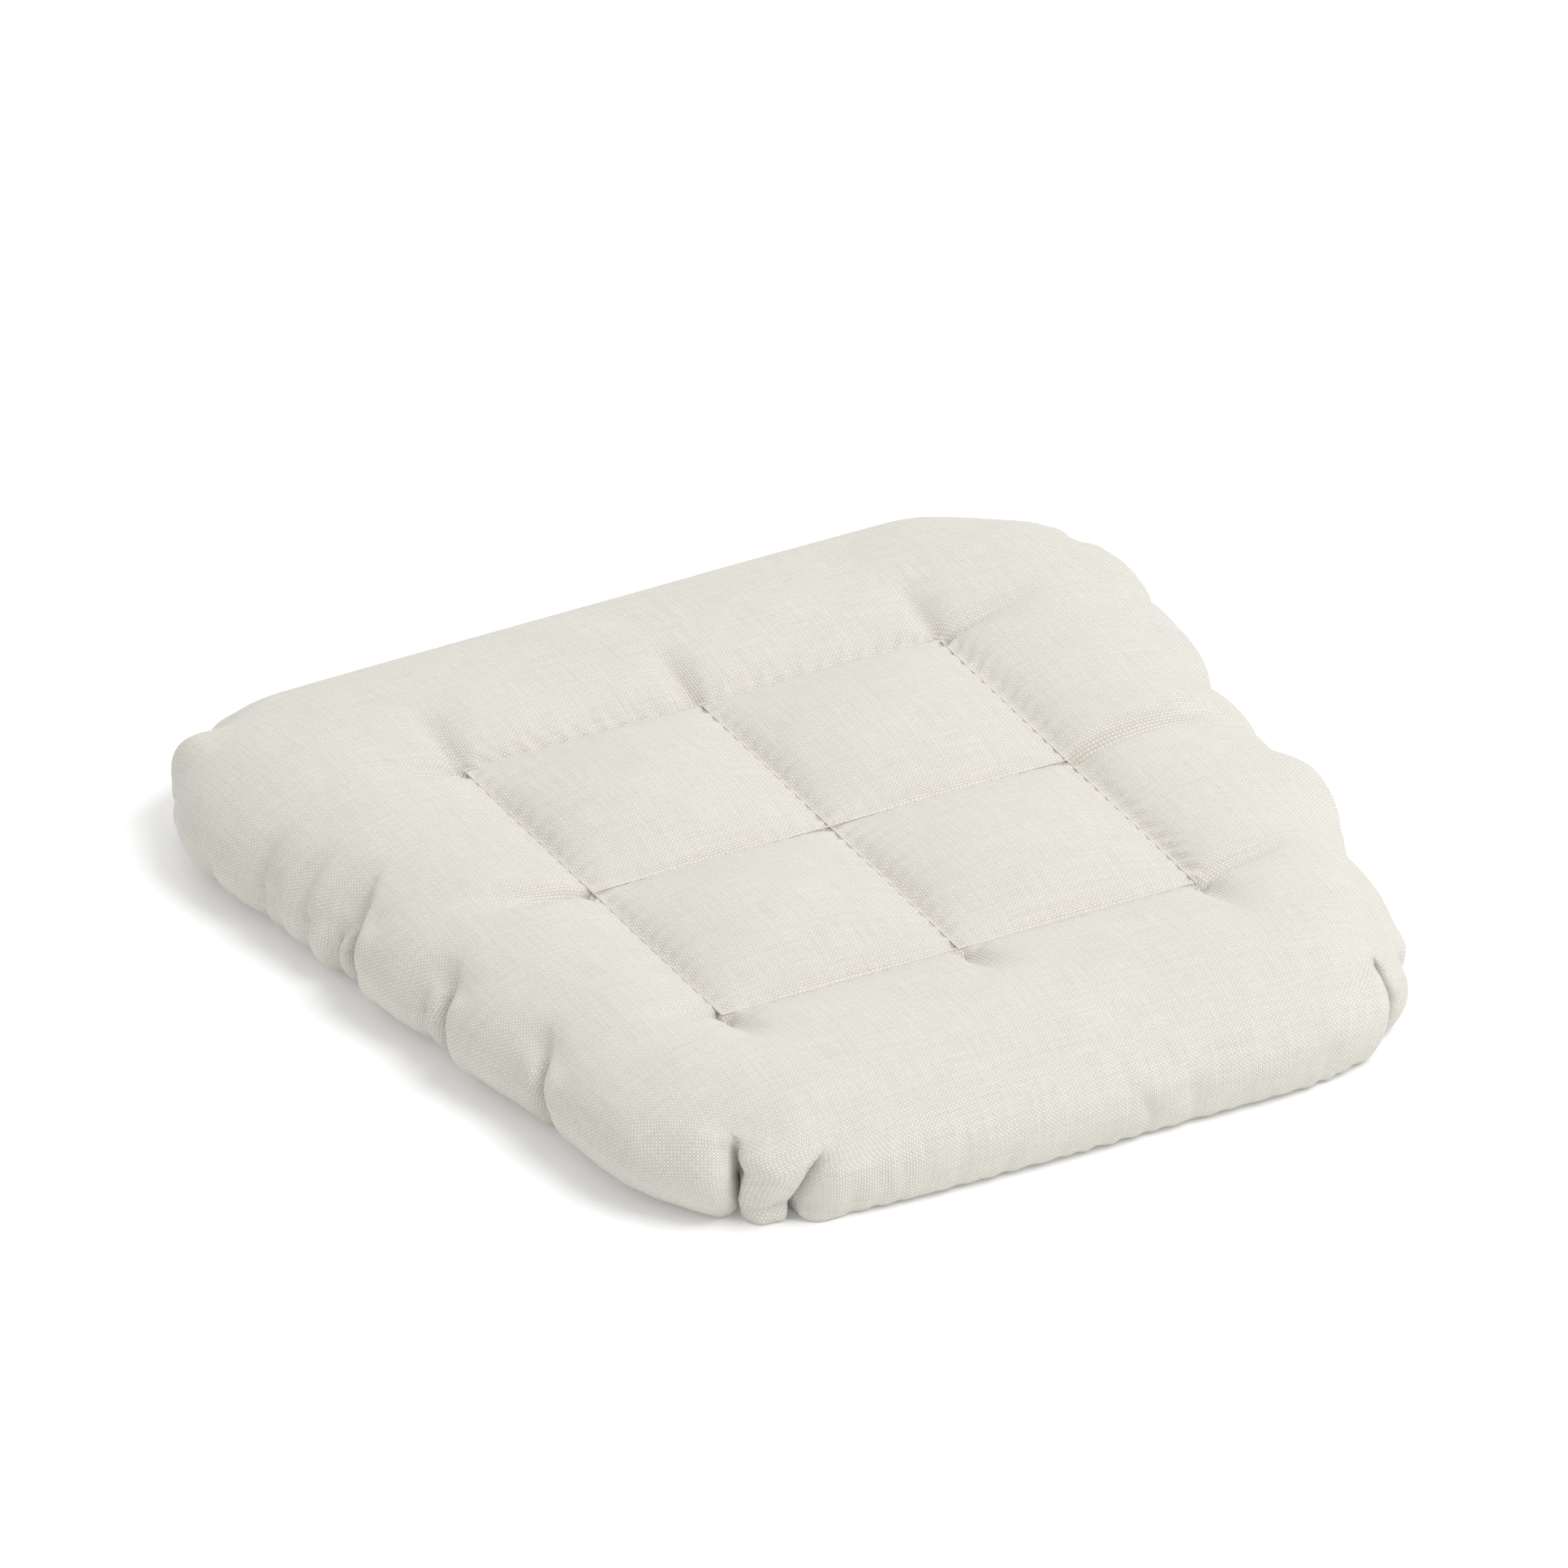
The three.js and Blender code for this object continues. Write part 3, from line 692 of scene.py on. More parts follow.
# ---- the quilted cover ----
grid = square_grid()
rings, flat, share_down = cover_rings()
normal = ring_normals(rings)
still = np.repeat(round_at[:, None], RINGS + 1, 1)
gathered = slide_round(rings, still, gather_depth(share_down, 1.0), normal)
cut = slide_round(rings, still, gather_depth(share_down, CUT_GAIN), normal)
square_move, ring_move = cloth_movement(grid, gathered, cut)
ring_move[:, 0] = 0
grid = grid + square_move
gathered = gathered + ring_move
gathered[:, :, 2] = np.maximum(gathered[:, :, 2], 0)
followed, moved, pleat_depth = pleat_moves(share_down)
flat_points = np.dstack([flat, np.zeros_like(share_down)])
no_depth = np.zeros_like(share_down)
flat = slide_round(flat_points, followed, no_depth, np.zeros_like(gathered))[:, :, :2]
laid = slide_round(gathered, moved, pleat_depth, ring_normals(gathered))
laid[:, :, 2] = np.maximum(laid[:, :, 2], 0)
inward = -out
HEM_FOLD = 0.0012  # size of the fold where the edge turns in
turn_in = np.stack([
    np.column_stack([laid[:, -1, :2] + inward * HEM_FOLD / 2, np.full(STATIONS, HEM_FOLD)]),
    np.column_stack([laid[:, -1, :2] + inward * 0.0007, np.full(STATIONS, HEM_TURN)]),
], 1)
sewn_rings = np.concatenate([laid, turn_in], 1)
turn_flat = np.stack([flat[:, -1] + out * 0.0014, flat[:, -1] + out * HEM_TURN], 1)
cover_flat = np.concatenate([flat, turn_flat], 1)
faces, ring_numbers = panel_faces(CELLS, RINGS + 2)
cover = build_mesh(
    "quilted_cover",
    panel_points(grid, sewn_rings),
    faces,
    panel_points(grid[:, :, :2], cover_flat),
)


# ---- materials ----
class NodeBench:
    """Adds and joins nodes in one tree."""

    def __init__(self, tree):
        self.tree = tree

    def add(self, kind, **values):
        node = self.tree.nodes.new(kind)
        for name, value in values.items():
            setattr(node, name, value)
        return node

    def join(self, source, target):
        self.tree.links.new(source, target)

    def feed(self, node, index, value):
        """Joins a socket to an input, or sets the input to a number."""
        if isinstance(value, bpy.types.NodeSocket):
            self.join(value, node.inputs[index])
        else:
            node.inputs[index].default_value = value

    def math(self, operation, first, second=0.0, third=0.0):
        node = self.add("ShaderNodeMath", operation=operation)
        self.feed(node, 0, first)
        self.feed(node, 1, second)
        self.feed(node, 2, third)
        return node.outputs[0]

    def noise(self, vector, scale, detail=2.0):
        node = self.add("ShaderNodeTexNoise")
        self.join(vector, node.inputs["Vector"])
        node.inputs["Scale"].default_value = scale
        node.inputs["Detail"].default_value = detail
        return node.outputs["Fac"]

    def mix(self, share, first, second):
        node = self.add("ShaderNodeMix", data_type="RGBA")
        self.feed(node, 0, share)
        self.feed(node, 6, first)
        self.feed(node, 7, second)
        return node.outputs[2]

    def vector(self, x, y, z=0.0):
        node = self.add("ShaderNodeCombineXYZ")
        self.feed(node, 0, x)
        self.feed(node, 1, y)
        self.feed(node, 2, z)
        return node.outputs[0]


YARN_STEP = 0.73  # from one yarn's tone to the next yarn's, through the noise
YARN_DRIFT = 0.035  # how quickly the tone changes along a yarn
WEFT_APART = 9.0  # keeps the weft's tones apart from the warp's


def weave_group():
    """Plain weave: each yarn passes over and under its neighbours, and is a little uneven; the colour
    carries painted shade in the dips between the yarns.
    """
    tree = bpy.data.node_groups.new("plain_weave", "ShaderNodeTree")
    sockets = tree.interface
    sockets.new_socket("Pattern", in_out="INPUT", socket_type="NodeSocketVector")
    sockets.new_socket("Yarn pitch", in_out="INPUT", socket_type="NodeSocketFloat")
    sockets.new_socket("Yarn", in_out="INPUT", socket_type="NodeSocketColor")
    # Shade: painted shade, the colour given to the dips between the yarns
    sockets.new_socket("Shade", in_out="INPUT", socket_type="NodeSocketColor")
    sockets.new_socket("Slub", in_out="INPUT", socket_type="NodeSocketFloat")
    sockets.new_socket("Colour", in_out="OUTPUT", socket_type="NodeSocketColor")
    sockets.new_socket("Relief", in_out="OUTPUT", socket_type="NodeSocketFloat")
    bench = NodeBench(tree)
    given = bench.add("NodeGroupInput").outputs
    result = bench.add("NodeGroupOutput").inputs
    split = bench.add("ShaderNodeSeparateXYZ")
    bench.join(given["Pattern"], split.inputs[0])
    across = bench.math("DIVIDE", split.outputs[0], given["Yarn pitch"])
    along = bench.math("DIVIDE", split.outputs[1], given["Yarn pitch"])
    wave_across = bench.math("SINE", bench.math("MULTIPLY", across, math.pi))
    wave_along = bench.math("SINE", bench.math("MULTIPLY", along, math.pi))
    crossing = bench.math("MULTIPLY", wave_across, wave_along)
    warp = bench.math("POWER", bench.math("MAXIMUM", crossing, 0.0), 0.75)
    weft = bench.math("POWER", bench.math("MAXIMUM", bench.math("MULTIPLY", crossing, -1.0), 0.0), 0.75)
    relief = bench.math("ADD", warp, bench.math("MULTIPLY", weft, 0.45))
    # each yarn has its own thickness and tone, which drift slowly along it
    warp_yarn = bench.math("FLOOR", across)
    weft_yarn = bench.math("FLOOR", along)
    warp_number = bench.math("MULTIPLY", warp_yarn, YARN_STEP)
    weft_number = bench.math("MULTIPLY", weft_yarn, YARN_STEP)
    warp_run = bench.math("MULTIPLY", along, YARN_DRIFT)
    weft_run = bench.math("MULTIPLY", across, YARN_DRIFT)
    warp_tone = bench.noise(bench.vector(warp_number, warp_run), 1.0)
    weft_tone = bench.noise(bench.vector(weft_run, weft_number, WEFT_APART), 1.0)
    warp_half = bench.math("MULTIPLY", warp_tone, 0.5)
    weft_half = bench.math("MULTIPLY", weft_tone, 0.5)
    tone = bench.math("ADD", warp_half, weft_half)
    uneven = bench.math("MULTIPLY", bench.math("SUBTRACT", tone, 0.5), given["Slub"])
    drift = bench.math("SUBTRACT", bench.noise(given["Pattern"], 22.0, 3.0), 0.5)
    fluff = bench.math("SUBTRACT", bench.noise(given["Pattern"], 900.0, 1.0), 0.5)
    # the colour follows the relief: painted shade in the dips between the yarns and on the lower weft,
    # on top of the yarns' own uneven tone
    share = bench.math("ADD", bench.math("MULTIPLY_ADD", relief, 0.85, 0.08), uneven)
    share = bench.math("ADD", share, bench.math("MULTIPLY", drift, 0.12))
    share = bench.math("ADD", share, bench.math("MULTIPLY", fluff, 0.30))
    share = bench.math("MINIMUM", bench.math("MAXIMUM", share, 0.0), 1.0)
    bench.join(bench.mix(share, given["Shade"], given["Yarn"]), result["Colour"])
    height = bench.math("ADD", relief, bench.math("MULTIPLY", uneven, 0.6))
    bench.join(height, result["Relief"])
    return tree


plain_weave = weave_group()


def principled(name, roughness, sheen=0.0):
    material = bpy.data.materials.new(name)
    material.use_nodes = True
    shader = material.node_tree.nodes["Principled BSDF"]
    shader.inputs["Roughness"].default_value = roughness
    shader.inputs["Sheen Weight"].default_value = sheen
    shader.inputs["Sheen Roughness"].default_value = 0.6
    shader.inputs["Specular IOR Level"].default_value = 0.25
    return material, NodeBench(material.node_tree), shader


def canvas_material(name, yarn, shade, pitch, slub):
    """Cotton canvas in plain weave, laid out on the cut panel's own pattern, with painted shade (the
    shade colour) in the dips between the yarns.
    """
    material, bench, shader = principled(name, 0.92, 0.12)
    place = bench.add("ShaderNodeUVMap", uv_map="pattern")
    weave = bench.add("ShaderNodeGroup", node_tree=plain_weave)
    bench.join(place.outputs[0], weave.inputs["Pattern"])
    weave.inputs["Yarn pitch"].default_value = pitch
    weave.inputs["Yarn"].default_value = (*yarn, 1)
    # Shade is the painted shade in the dips between the yarns
    weave.inputs["Shade"].default_value = (*shade, 1)
    weave.inputs["Slub"].default_value = slub
    bump = bench.add("ShaderNodeBump")
    bump.inputs["Strength"].default_value = 0.6
    bump.inputs["Distance"].default_value = 0.00034
    bench.join(weave.outputs["Relief"], bump.inputs["Height"])
    bench.join(bump.outputs[0], shader.inputs["Normal"])
    bench.join(weave.outputs["Colour"], shader.inputs["Base Color"])
    return material


def speckled_material(name, light, dark, scale, bump_height, roughness=0.95):
    """A fibrous or cellular filling: two tones and a bump, from noise on the piece's own space."""
    material, bench, shader = principled(name, roughness)
    place = bench.add("ShaderNodeTexCoord").outputs["Object"]
    fine_grain = bench.noise(place, scale, 4.0)
    broad = bench.noise(place, scale * 0.06, 2.0)
    fine_share = bench.math("MULTIPLY", fine_grain, 0.7)
    share = bench.math("ADD", fine_share, bench.math("MULTIPLY", broad, 0.3))
    bench.join(bench.mix(share, (*dark, 1), (*light, 1)), shader.inputs["Base Color"])
    bump = bench.add("ShaderNodeBump")
    bump.inputs["Strength"].default_value = 0.6
    bump.inputs["Distance"].default_value = bump_height
    bench.join(fine_grain, bump.inputs["Height"])
    bench.join(bump.outputs[0], shader.inputs["Normal"])
    return material


def thread_material():
    """Spun polyester sewing thread: a twist of fine plies."""
    material, bench, shader = principled("sewing_thread", 0.7, 0.2)
    place = bench.add("ShaderNodeTexCoord").outputs["Object"]
    split = bench.add("ShaderNodeSeparateXYZ")
    bench.join(place, split.inputs[0])
    turn = bench.math("ADD", bench.math("ADD", split.outputs[0], split.outputs[1]), split.outputs[2])
    ply = bench.math("SINE", bench.math("MULTIPLY", turn, 2 * math.pi / 0.0006))
    share = bench.math("MULTIPLY_ADD", ply, 0.35, bench.noise(place, 1500.0, 1.0))
    shades = (0.62, 0.59, 0.52, 1), (0.80, 0.77, 0.70, 1)
    bench.join(bench.mix(share, *shades), shader.inputs["Base Color"])
    bump = bench.add("ShaderNodeBump")
    bump.inputs["Strength"].default_value = 0.4
    bump.inputs["Distance"].default_value = 0.00008
    bench.join(ply, bump.inputs["Height"])
    bench.join(bump.outputs[0], shader.inputs["Normal"])
    return material


CANVAS_YARN = (0.93, 0.90, 0.825)
BASE_YARN = (0.91, 0.88, 0.805)
# painted shade: the colour of the dips between the yarns, standing in for the shadow that the weave's
# bump does not cast
CANVAS_PAINTED_SHADE = (0.53, 0.51, 0.46)  # between the yarns
canvas = canvas_material("cream_canvas", CANVAS_YARN, CANVAS_PAINTED_SHADE, YARN_PITCH, 0.55)
base_canvas = canvas_material("cream_base_canvas", BASE_YARN, CANVAS_PAINTED_SHADE, YARN_PITCH, 0.5)
thread = thread_material()
WADDING_LIGHT, WADDING_DARK = (0.88, 0.88, 0.87), (0.70, 0.70, 0.69)
FOAM_LIGHT, FOAM_DARK = (0.86, 0.83, 0.70), (0.66, 0.62, 0.48)
wadding = speckled_material("polyester_wadding", WADDING_LIGHT, WADDING_DARK, 900.0, 0.0006)
foam = speckled_material("polyether_foam", FOAM_LIGHT, FOAM_DARK, 1400.0, 0.0004)

cover.data.materials.append(canvas)
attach(cover, "root")
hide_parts("top_cover")

foam_core = bpy.data.objects["foam_core"]
for slot in foam_core.material_slots:
    slot.material = foam


# ---- the base panel ----
PANEL_CELLS = 80
PANEL_STATIONS = 4 * PANEL_CELLS
BASE_GAP = 0.0016  # from the cover's hem to the panel's
BASE_PUCKERS = 150  # round the whole edge
BASE_PUCKER_DEPTH = 0.0005


def crease_height(x, y):
    """How far the quilting draws the underside up."""
    height = np.zeros_like(x)
    for first, second in ((x, y - QUILT_SHIFT), (y - QUILT_SHIFT, x)):
        within = 1 - smooth_step(HALF_QUILT, HALF_QUILT + 0.02, np.abs(second))
        for seam in (-HALF_QUILT, 0, HALF_QUILT):
            near = np.exp(-((first - seam) / CREASE_WIDTH) ** 2)
            height = np.maximum(height, CREASE_HEIGHT * near * within)
    return height


def base_panel(thickness_below, height_above):
    """Grid and rings of the flat panel inside the hem, with its turned-in edge."""
    line = np.linspace(-HALF_QUILT, HALF_QUILT, PANEL_CELLS + 1)
    x, y = np.meshgrid(line, line + QUILT_SHIFT, indexing="ij")
    inner_grid = np.stack([x, y, crease_height(x, y) + thickness_below], -1)
    hem = rings[::2, -1, :2] - out[::2] * BASE_GAP
    start = square[::2]
    ring_list = [np.column_stack([start, crease_height(start[:, 0], start[:, 1]) + thickness_below])]
    for share in np.linspace(0, 1, 31)[1:]:
        place = start + (hem - start) * share
        near_hem = smooth_step(0.75, 1, np.array(share))
        wave = np.sin(BASE_PUCKERS * 2 * math.pi * round_at[::2] / ROUND)
        pucker = BASE_PUCKER_DEPTH * near_hem * (1 + wave)
        z = crease_height(place[:, 0], place[:, 1]) + pucker + 0.0004 * (share > 0.99)
        ring_list.append(np.column_stack([place, z + thickness_below]))
    edge = hem - out[::2] * 0.0003
    ring_list.append(np.column_stack([edge, np.full(PANEL_STATIONS, height_above)]))
    return inner_grid, np.stack(ring_list, 1)


def closed_shell(name, outer, inner, n):
    """A closed piece between two panels that share their layout; the first faces out."""
    grid_a, rings_a = outer
    grid_b, rings_b = inner
    own_faces, numbers = panel_faces(n, rings_a.shape[1] - 1)
    points = np.concatenate([panel_points(grid_a, rings_a), panel_points(grid_b, rings_b)])
    shift = (n + 1) ** 2 + (rings_a.shape[1] - 1) * 4 * n
    far_faces = [tuple(shift + i for i in reversed(face)) for face in own_faces]
    rim_faces = []
    edge = numbers[-1]
    for k in range(4 * n):
        after = (k + 1) % (4 * n)
        rim_faces.append((edge[k], shift + edge[k], shift + edge[after], edge[after]))
    pattern = np.tile(panel_points(grid_a[:, :, :2], rings_a[:, :, :2]), (2, 1))
    return build_mesh(name, points, own_faces + far_faces + rim_faces, pattern)


upper_side = base_panel(CLOTH, HEM_TURN)
lower_side = base_panel(0.0, HEM_TURN)
upper_side[1][:, -2:, :2] -= out[::2, None] * CLOTH
base = closed_shell("base_panel", upper_side, lower_side, PANEL_CELLS)
base.data.materials.append(base_canvas)
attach(base, "root")
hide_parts("bottom_cover")
base_edge = upper_side[1][:, -2, :2]
base_edge_next = np.roll(base_edge, -1, 0)
base_area = abs(cross(base_edge, base_edge_next).sum()) / 2
base_area += np.linalg.norm(base_edge_next - base_edge, axis=1).sum() * HEM_TURN


# ---- wadding ----
FOAM_LOW, FOAM_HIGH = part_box("foam_core")
SPACE = 0.0004  # between layers
HEM_CLEARANCE = 0.0060  # how far the wadding keeps above the gathers beside the hem
WADDING_INSET = 0.0030  # from the cover's face to the wadding
FLANK_CLEARANCE = 0.014  # as much again where the flank is gathered
STEP_BEGINS, STEP_ENDS = 0.0265, 0.0290  # how far in the wadding steps round the foam's edge


def inner_height(rings_inset, at_foam, at_edge):
    """The face against the foam: level over it, and stepping to the middle beyond its edge."""
    return at_edge + (at_foam - at_edge) * smooth_step(STEP_BEGINS, STEP_ENDS, rings_inset)


def wadding_layer(name, upper):
    """Soft wadding between the foam and the cover, over or under the foam."""
    n = CELLS // 2
    rim_ring = UPPER_RINGS
    normals = ring_normals(rings)
    depth = WADDING_INSET + FLANK_CLEARANCE * smooth_step(0.45, 0.62, share_down)
    padded_face = gathered - normals * depth[:, :, None]
    if upper:
        outer_rings = padded_face[::2, :rim_ring + 1:2].copy()
        outer_grid = grid[::2, ::2] - np.array([0, 0, WADDING_INSET])
        outer_rings[:, 0] = outer_grid[tuple(np.array(boundary_indices(n)).T)]
        at_foam = FOAM_HIGH[2] + SPACE
        at_edge = RIM_HEIGHT + SPACE
        outer_rings[:, :, 2] = np.maximum(outer_rings[:, :, 2], at_edge + SPACE)
    else:
        steps = np.linspace(0, 1, rim_ring // 2 + 1)[:, None]
        start = square[::2]
        rim_end = padded_face[::2, rim_ring, :2]
        plan = start[:, None] + (rim_end - start)[:, None] * steps[None]
        inset = ((rim[::2][:, None] - plan) * out[::2][:, None]).sum(-1)
        under = 1 - np.clip(inset / UNDER_ROLL, 0, 1)
        drop = RIM_HEIGHT * (1 - np.sqrt(np.clip(1 - under ** 2, 0, 1)))
        z = crease_height(plan[:, :, 0], plan[:, :, 1]) + CLOTH + SPACE + drop
        z += HEM_CLEARANCE * smooth_step(-HEM_INSET - 0.004, -HEM_INSET + 0.002, -inset)
        outer_rings = np.dstack([plan, np.minimum(z, RIM_HEIGHT - 2 * SPACE)])
        flat_grid = grid[::2, ::2, :2]
        lift = crease_height(flat_grid[:, :, 0], flat_grid[:, :, 1]) + CLOTH + SPACE
        outer_grid = np.dstack([flat_grid, lift])
        at_foam = FOAM_LOW[2] - SPACE
        at_edge = RIM_HEIGHT - SPACE
    inset = ((rim[::2][:, None] - outer_rings[:, :, :2]) * out[::2][:, None]).sum(-1)
    inner_rings = outer_rings.copy()
    inner_rings[:, :, 2] = inner_height(inset, at_foam, at_edge)
    inner_grid = outer_grid.copy()
    inner_grid[:, :, 2] = at_foam
    if upper:
        pair = (outer_grid, outer_rings), (inner_grid, inner_rings)
    else:
        pair = (inner_grid, inner_rings), (outer_grid, outer_rings)
    layer = closed_shell(name, *pair, n)
    layer.data.materials.append(wadding)
    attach(layer, "root")
    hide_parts(name.replace("_layer", ""))
    return layer


wadding_layer("wadding_upper_layer", True)
wadding_layer("wadding_lower_layer", False)


# ---- stitches ----
def stitch_tree():
    """One arched stitch, repeated along a curve."""
    tree = bpy.data.node_groups.new("stitch_row", "GeometryNodeTree")
    sockets = tree.interface
    sockets.new_socket("Geometry", in_out="INPUT", socket_type="NodeSocketGeometry")
    sockets.new_socket("Stitch length", in_out="INPUT", socket_type="NodeSocketFloat")
    sockets.new_socket("Thread width", in_out="INPUT", socket_type="NodeSocketFloat")
    sockets.new_socket("Arch", in_out="INPUT", socket_type="NodeSocketFloat")
    sockets.new_socket("Thread", in_out="INPUT", socket_type="NodeSocketMaterial")
    sockets.new_socket("Geometry", in_out="OUTPUT", socket_type="NodeSocketGeometry")
    bench = NodeBench(tree)
    given = bench.add("NodeGroupInput").outputs
    result = bench.add("NodeGroupOutput").inputs
    half = bench.math("MULTIPLY", given["Stitch length"], 0.46)
    ends = bench.math("MULTIPLY", given["Arch"], -1.0)
    line = bench.add("GeometryNodeCurveQuadraticBezier")
    line.inputs["Resolution"].default_value = 4
    bench.join(bench.vector(bench.math("MULTIPLY", half, -1.0), 0.0, ends), line.inputs["Start"])
    bench.join(bench.vector(0.0, 0.0, given["Arch"]), line.inputs["Middle"])
    bench.join(bench.vector(half, 0.0, ends), line.inputs["End"])
    section = bench.add("GeometryNodeCurvePrimitiveCircle")
    section.inputs["Resolution"].default_value = 6
    bench.join(bench.math("MULTIPLY", given["Thread width"], 0.5), section.inputs["Radius"])
    stitch = bench.add("GeometryNodeCurveToMesh")
    stitch.inputs["Fill Caps"].default_value = True
    bench.join(line.outputs[0], stitch.inputs["Curve"])
    bench.join(section.outputs[0], stitch.inputs["Profile Curve"])
    smooth = bench.add("GeometryNodeSetShadeSmooth")
    bench.join(stitch.outputs[0], smooth.inputs["Geometry"])
    row = bench.add("GeometryNodeCurveToPoints", mode="LENGTH")
    bench.join(given["Geometry"], row.inputs["Curve"])
    bench.join(given["Stitch length"], row.inputs["Length"])
    align = bench.add("FunctionNodeAlignRotationToVector", axis="X")
    bench.join(row.outputs["Tangent"], align.inputs["Vector"])
    place = bench.add("GeometryNodeInstanceOnPoints")
    bench.join(row.outputs["Points"], place.inputs["Points"])
    bench.join(smooth.outputs[0], place.inputs["Instance"])
    bench.join(align.outputs[0], place.inputs["Rotation"])
    real = bench.add("GeometryNodeRealizeInstances")
    bench.join(place.outputs[0], real.inputs[0])
    painted = bench.add("GeometryNodeSetMaterial")
    bench.join(real.outputs[0], painted.inputs["Geometry"])
    bench.join(given["Thread"], painted.inputs["Material"])
    bench.join(painted.outputs[0], result[0])
    return tree


stitch_row = stitch_tree()


def stitched_line(name, path, node, stitch, arch, closed=False):
    """A row of stitches along a path, standing for the CAD's thread of the same seam."""
    line = bpy.data.curves.new(name + "_line", "CURVE")
    line.dimensions = "3D"
    spline = line.splines.new("POLY")
    spline.points.add(len(path) - 1)
    spline.points.foreach_set("co", np.column_stack([path, np.ones(len(path))]).ravel())
    spline.use_cyclic_u = closed
    guide = bpy.data.objects.new(name + "_line", line)
    scene.collection.objects.link(guide)
    row = guide.modifiers.new("stitches", "NODES")
    row.node_group = stitch_row
    values = {"Stitch length": stitch, "Thread width": THREAD, "Arch": arch, "Thread": thread}
    for item in stitch_row.interface.items_tree:
        if item.in_out == "INPUT" and item.name in values:
            row[item.identifier] = values[item.name]
    graph = bpy.context.evaluated_depsgraph_get()
    mesh = bpy.data.meshes.new_from_object(guide.evaluated_get(graph))
    mesh.name = name
    bpy.data.objects.remove(guide)
    piece = bpy.data.objects.new(name, mesh)
    scene.collection.objects.link(piece)
    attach(piece, "root")
    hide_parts(node)
    return piece


def straight_path(start, end, z, steps=60):
    share = np.linspace(0, 1, steps)[:, None]
    plan = np.array(start) + (np.array(end) - np.array(start)) * share
    return np.column_stack([plan, np.full(steps, z)])


def square_path(z):
    return np.column_stack([square, np.full(STATIONS, z)])


STITCH_ARCH = 0.0002  # how far a stitch's middle stands above its ends
needle_z = SEAM_HEIGHT + 0.0002
bobbin_z = CREASE_HEIGHT - 0.0004
half_row = HALF_QUILT - STITCH / 2


def long_path(z):
    return straight_path((0, QUILT_SHIFT - half_row), (0, QUILT_SHIFT + half_row), z)


def wide_path(z):
    return straight_path((-half_row, QUILT_SHIFT), (half_row, QUILT_SHIFT), z)


# each row of quilting, whether it closes on itself, and how far it stands clear where rows cross
rows = [
    ("quilt_square", square_path, True, 0.0),
    ("quilt_long", long_path, False, 0.0),
    ("quilt_wide", wide_path, False, 0.0003),
]
for seam, path, closed, over in rows:
    upper_name, lower_name = seam + "_needle", seam + "_bobbin"
    upper_path, lower_path = path(needle_z + over), path(bobbin_z - over)
    arch = STITCH_ARCH
    stitched_line(upper_name + "_stitches", upper_path, upper_name + "_thread", STITCH, arch, closed)
    stitched_line(lower_name + "_stitches", lower_path, lower_name + "_thread", STITCH, -arch, closed)

EDGE_STITCH = 0.003
EDGE_STITCH_ARCH = 0.0001
EDGE_NEEDLE_IN = -0.0004  # from the hem's fold to the thread outside it
EDGE_BOBBIN_IN = 0.0036  # and to the thread inside the turned-in edges
CLOSING_LENGTH = 0.15
CLOSING_STITCH = 0.005
HEM_SEAM_HEIGHT = 0.003


def hem_path(further_in, first, last):
    """The edge seam between two stations, a little further in than the hem."""
    stations = np.arange(first, last) % STATIONS
    plan = laid[stations, -1, :2] - out[stations] * further_in
    return np.column_stack([plan, np.full(len(plan), HEM_SEAM_HEIGHT)])


rear = np.arange(2 * CELLS, 3 * CELLS)
closing = rear[np.abs(rim[rear, 0]) < CLOSING_LENGTH / 2]
first, last = int(closing[0]), int(closing[-1]) + 1
around = (last + 1, first - 1 + STATIONS)
edge_outer = hem_path(EDGE_NEEDLE_IN, *around)
edge_inner = hem_path(EDGE_BOBBIN_IN, *around)
closing_path = hem_path(EDGE_NEEDLE_IN, first, last)
edge_arch = EDGE_STITCH_ARCH
stitched_line("edge_needle_stitches", edge_outer, "edge_seam_needle_thread", EDGE_STITCH, edge_arch)
stitched_line("edge_bobbin_stitches", edge_inner, "edge_seam_bobbin_thread", EDGE_STITCH, -edge_arch)
stitched_line("closing_stitches", closing_path, "closing_seam_thread", CLOSING_STITCH, STITCH_ARCH)


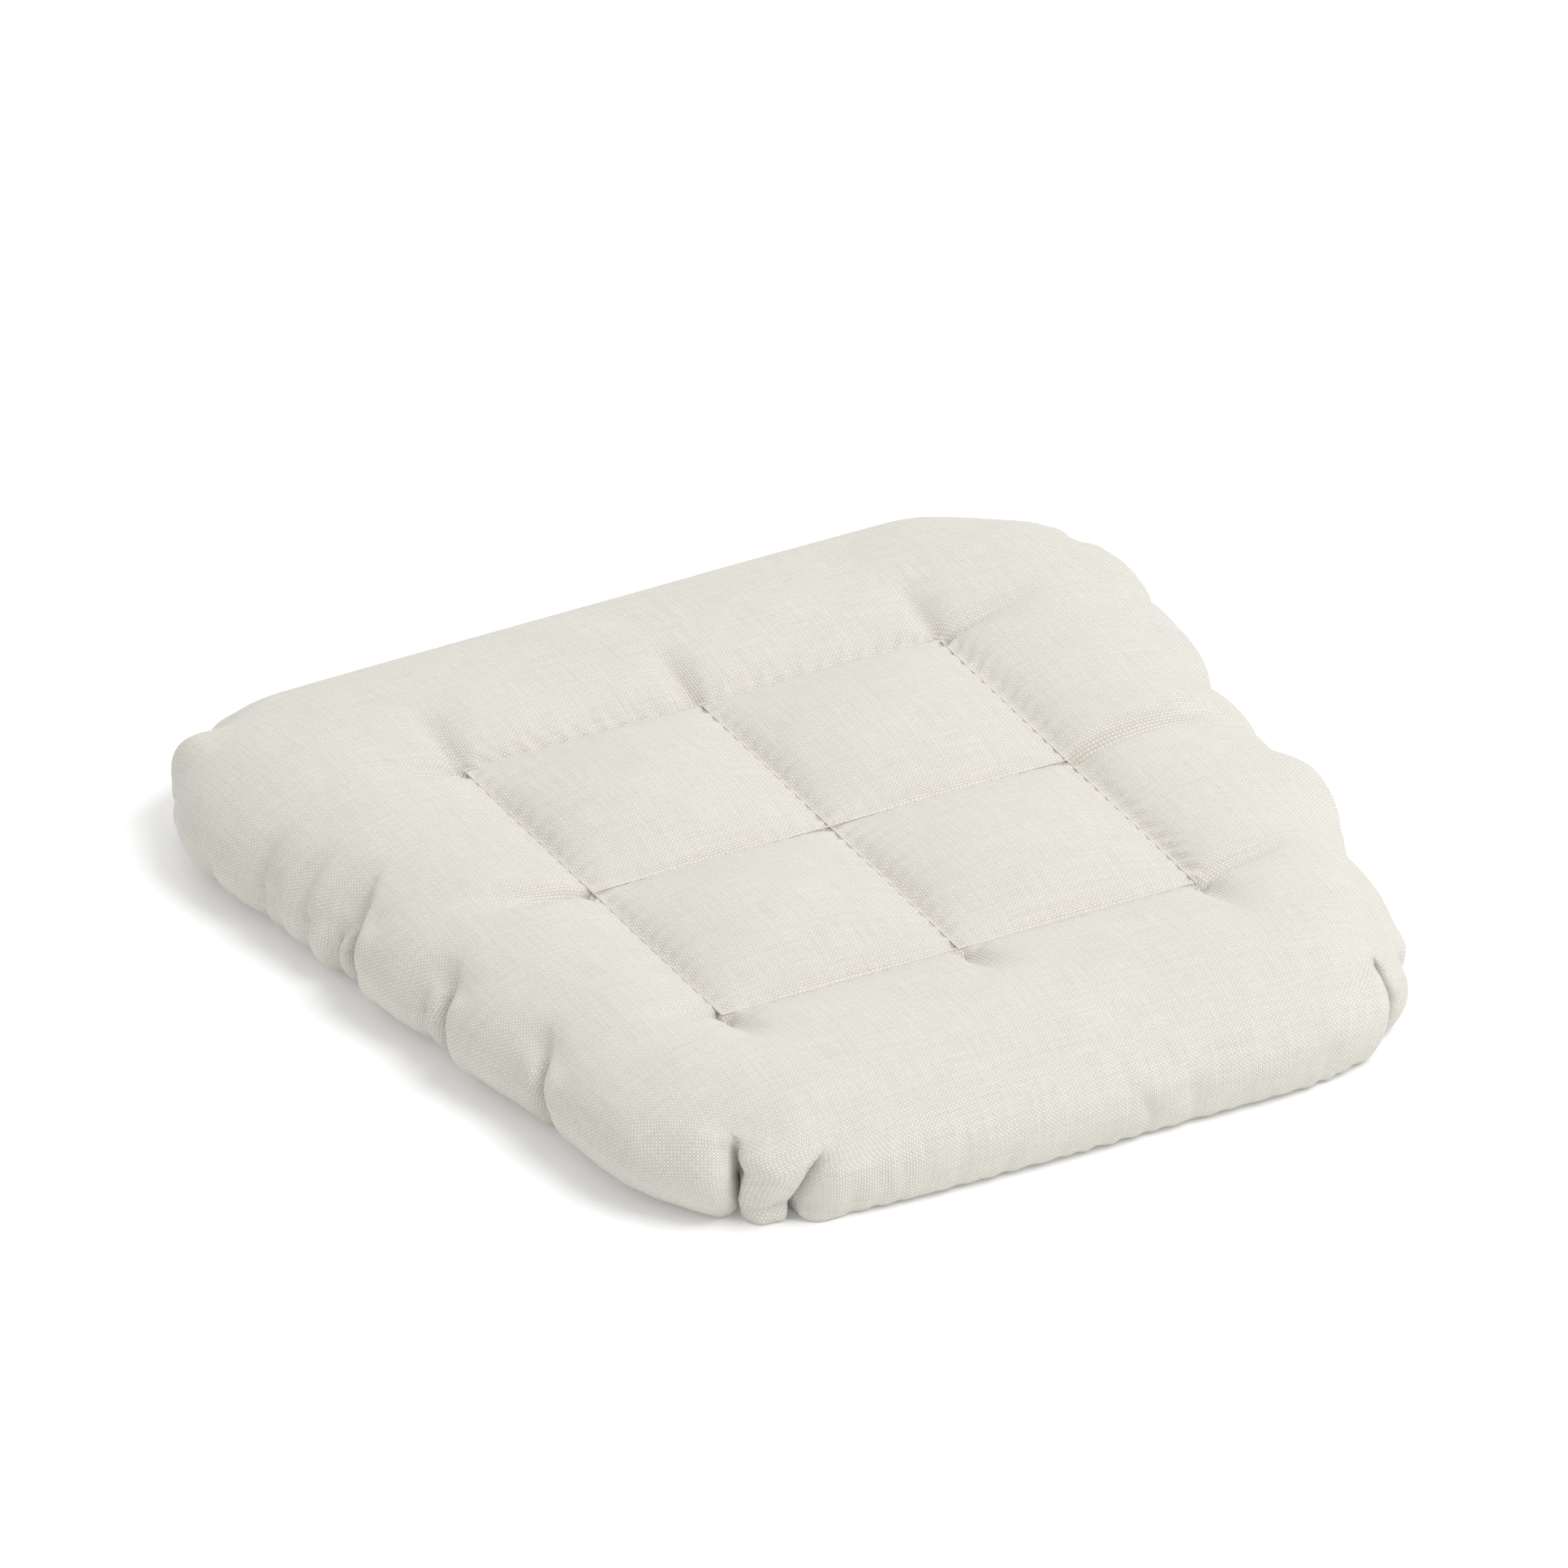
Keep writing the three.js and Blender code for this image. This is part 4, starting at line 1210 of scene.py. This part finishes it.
# ---- stage ----
VIEW_AZIMUTH = math.radians(-28.53)
VIEW_ELEVATION = math.radians(31.0)
VIEW_WIDTH = 0.5816
EYE_DISTANCE = 5.0
AIM_LEFT, AIM_UP = 0.01565, 0.0497  # from the origin to where the camera aims
back = Vector((
    math.sin(VIEW_AZIMUTH) * math.cos(VIEW_ELEVATION),
    -math.cos(VIEW_AZIMUTH) * math.cos(VIEW_ELEVATION),
    math.sin(VIEW_ELEVATION),
))
right = Vector((math.cos(VIEW_AZIMUTH), math.sin(VIEW_AZIMUTH), 0))
up = back.cross(right)
camera = bpy.data.objects.new("camera", bpy.data.cameras.new("camera"))
scene.collection.objects.link(camera)
scene.camera = camera
camera.data.type = "ORTHO"
camera.data.ortho_scale = VIEW_WIDTH
camera.location = back * EYE_DISTANCE - right * AIM_LEFT + up * AIM_UP
camera.rotation_mode = "QUATERNION"
camera.rotation_quaternion = (-back).to_track_quat("-Z", "Y")
camera.data.clip_start = 0.1
camera.data.clip_end = 40

FLOOR_REACH = 12.0
FLOOR_LEVEL = -0.0002  # just clear of the pad's underside
floor_signs = [(-1, -1), (1, -1), (1, 1), (-1, 1)]
floor_corners = [(x * FLOOR_REACH, y * FLOOR_REACH, FLOOR_LEVEL) for x, y in floor_signs]
floor = build_mesh("floor", floor_corners, [(0, 1, 2, 3)])
floor_paint = bpy.data.materials.new("floor")
floor_paint.use_nodes = True
floor_shader = floor_paint.node_tree.nodes["Principled BSDF"]
floor_shader.inputs["Base Color"].default_value = (0.93, 0.93, 0.93, 1)
floor_shader.inputs["Roughness"].default_value = 0.9
floor_shader.inputs["Emission Color"].default_value = (1, 1, 1, 1)
floor_shader.inputs["Emission Strength"].default_value = 0.12
floor.data.materials.append(floor_paint)

world = bpy.data.worlds.new("studio")
scene.world = world
world.use_nodes = True
world.node_tree.nodes["Background"].inputs["Color"].default_value = (1, 1, 1, 1)
world.node_tree.nodes["Background"].inputs["Strength"].default_value = 0.65
scene.view_settings.view_transform = "Standard"


def soft_light(name, place, size, power):
    light = bpy.data.lights.new(name, "AREA")
    light.shape = "DISK"
    light.size = size
    light.energy = power
    lamp = bpy.data.objects.new(name, light)
    scene.collection.objects.link(lamp)
    lamp.location = place
    lamp.rotation_mode = "QUATERNION"
    lamp.rotation_quaternion = Vector(place).to_track_quat("Z", "Y")
    return lamp


soft_light("key", (0.95, -1.25, 2.6), 2.2, 57)
soft_light("rear_fill", (0.6, 2.2, 1.5), 2.0, 14)
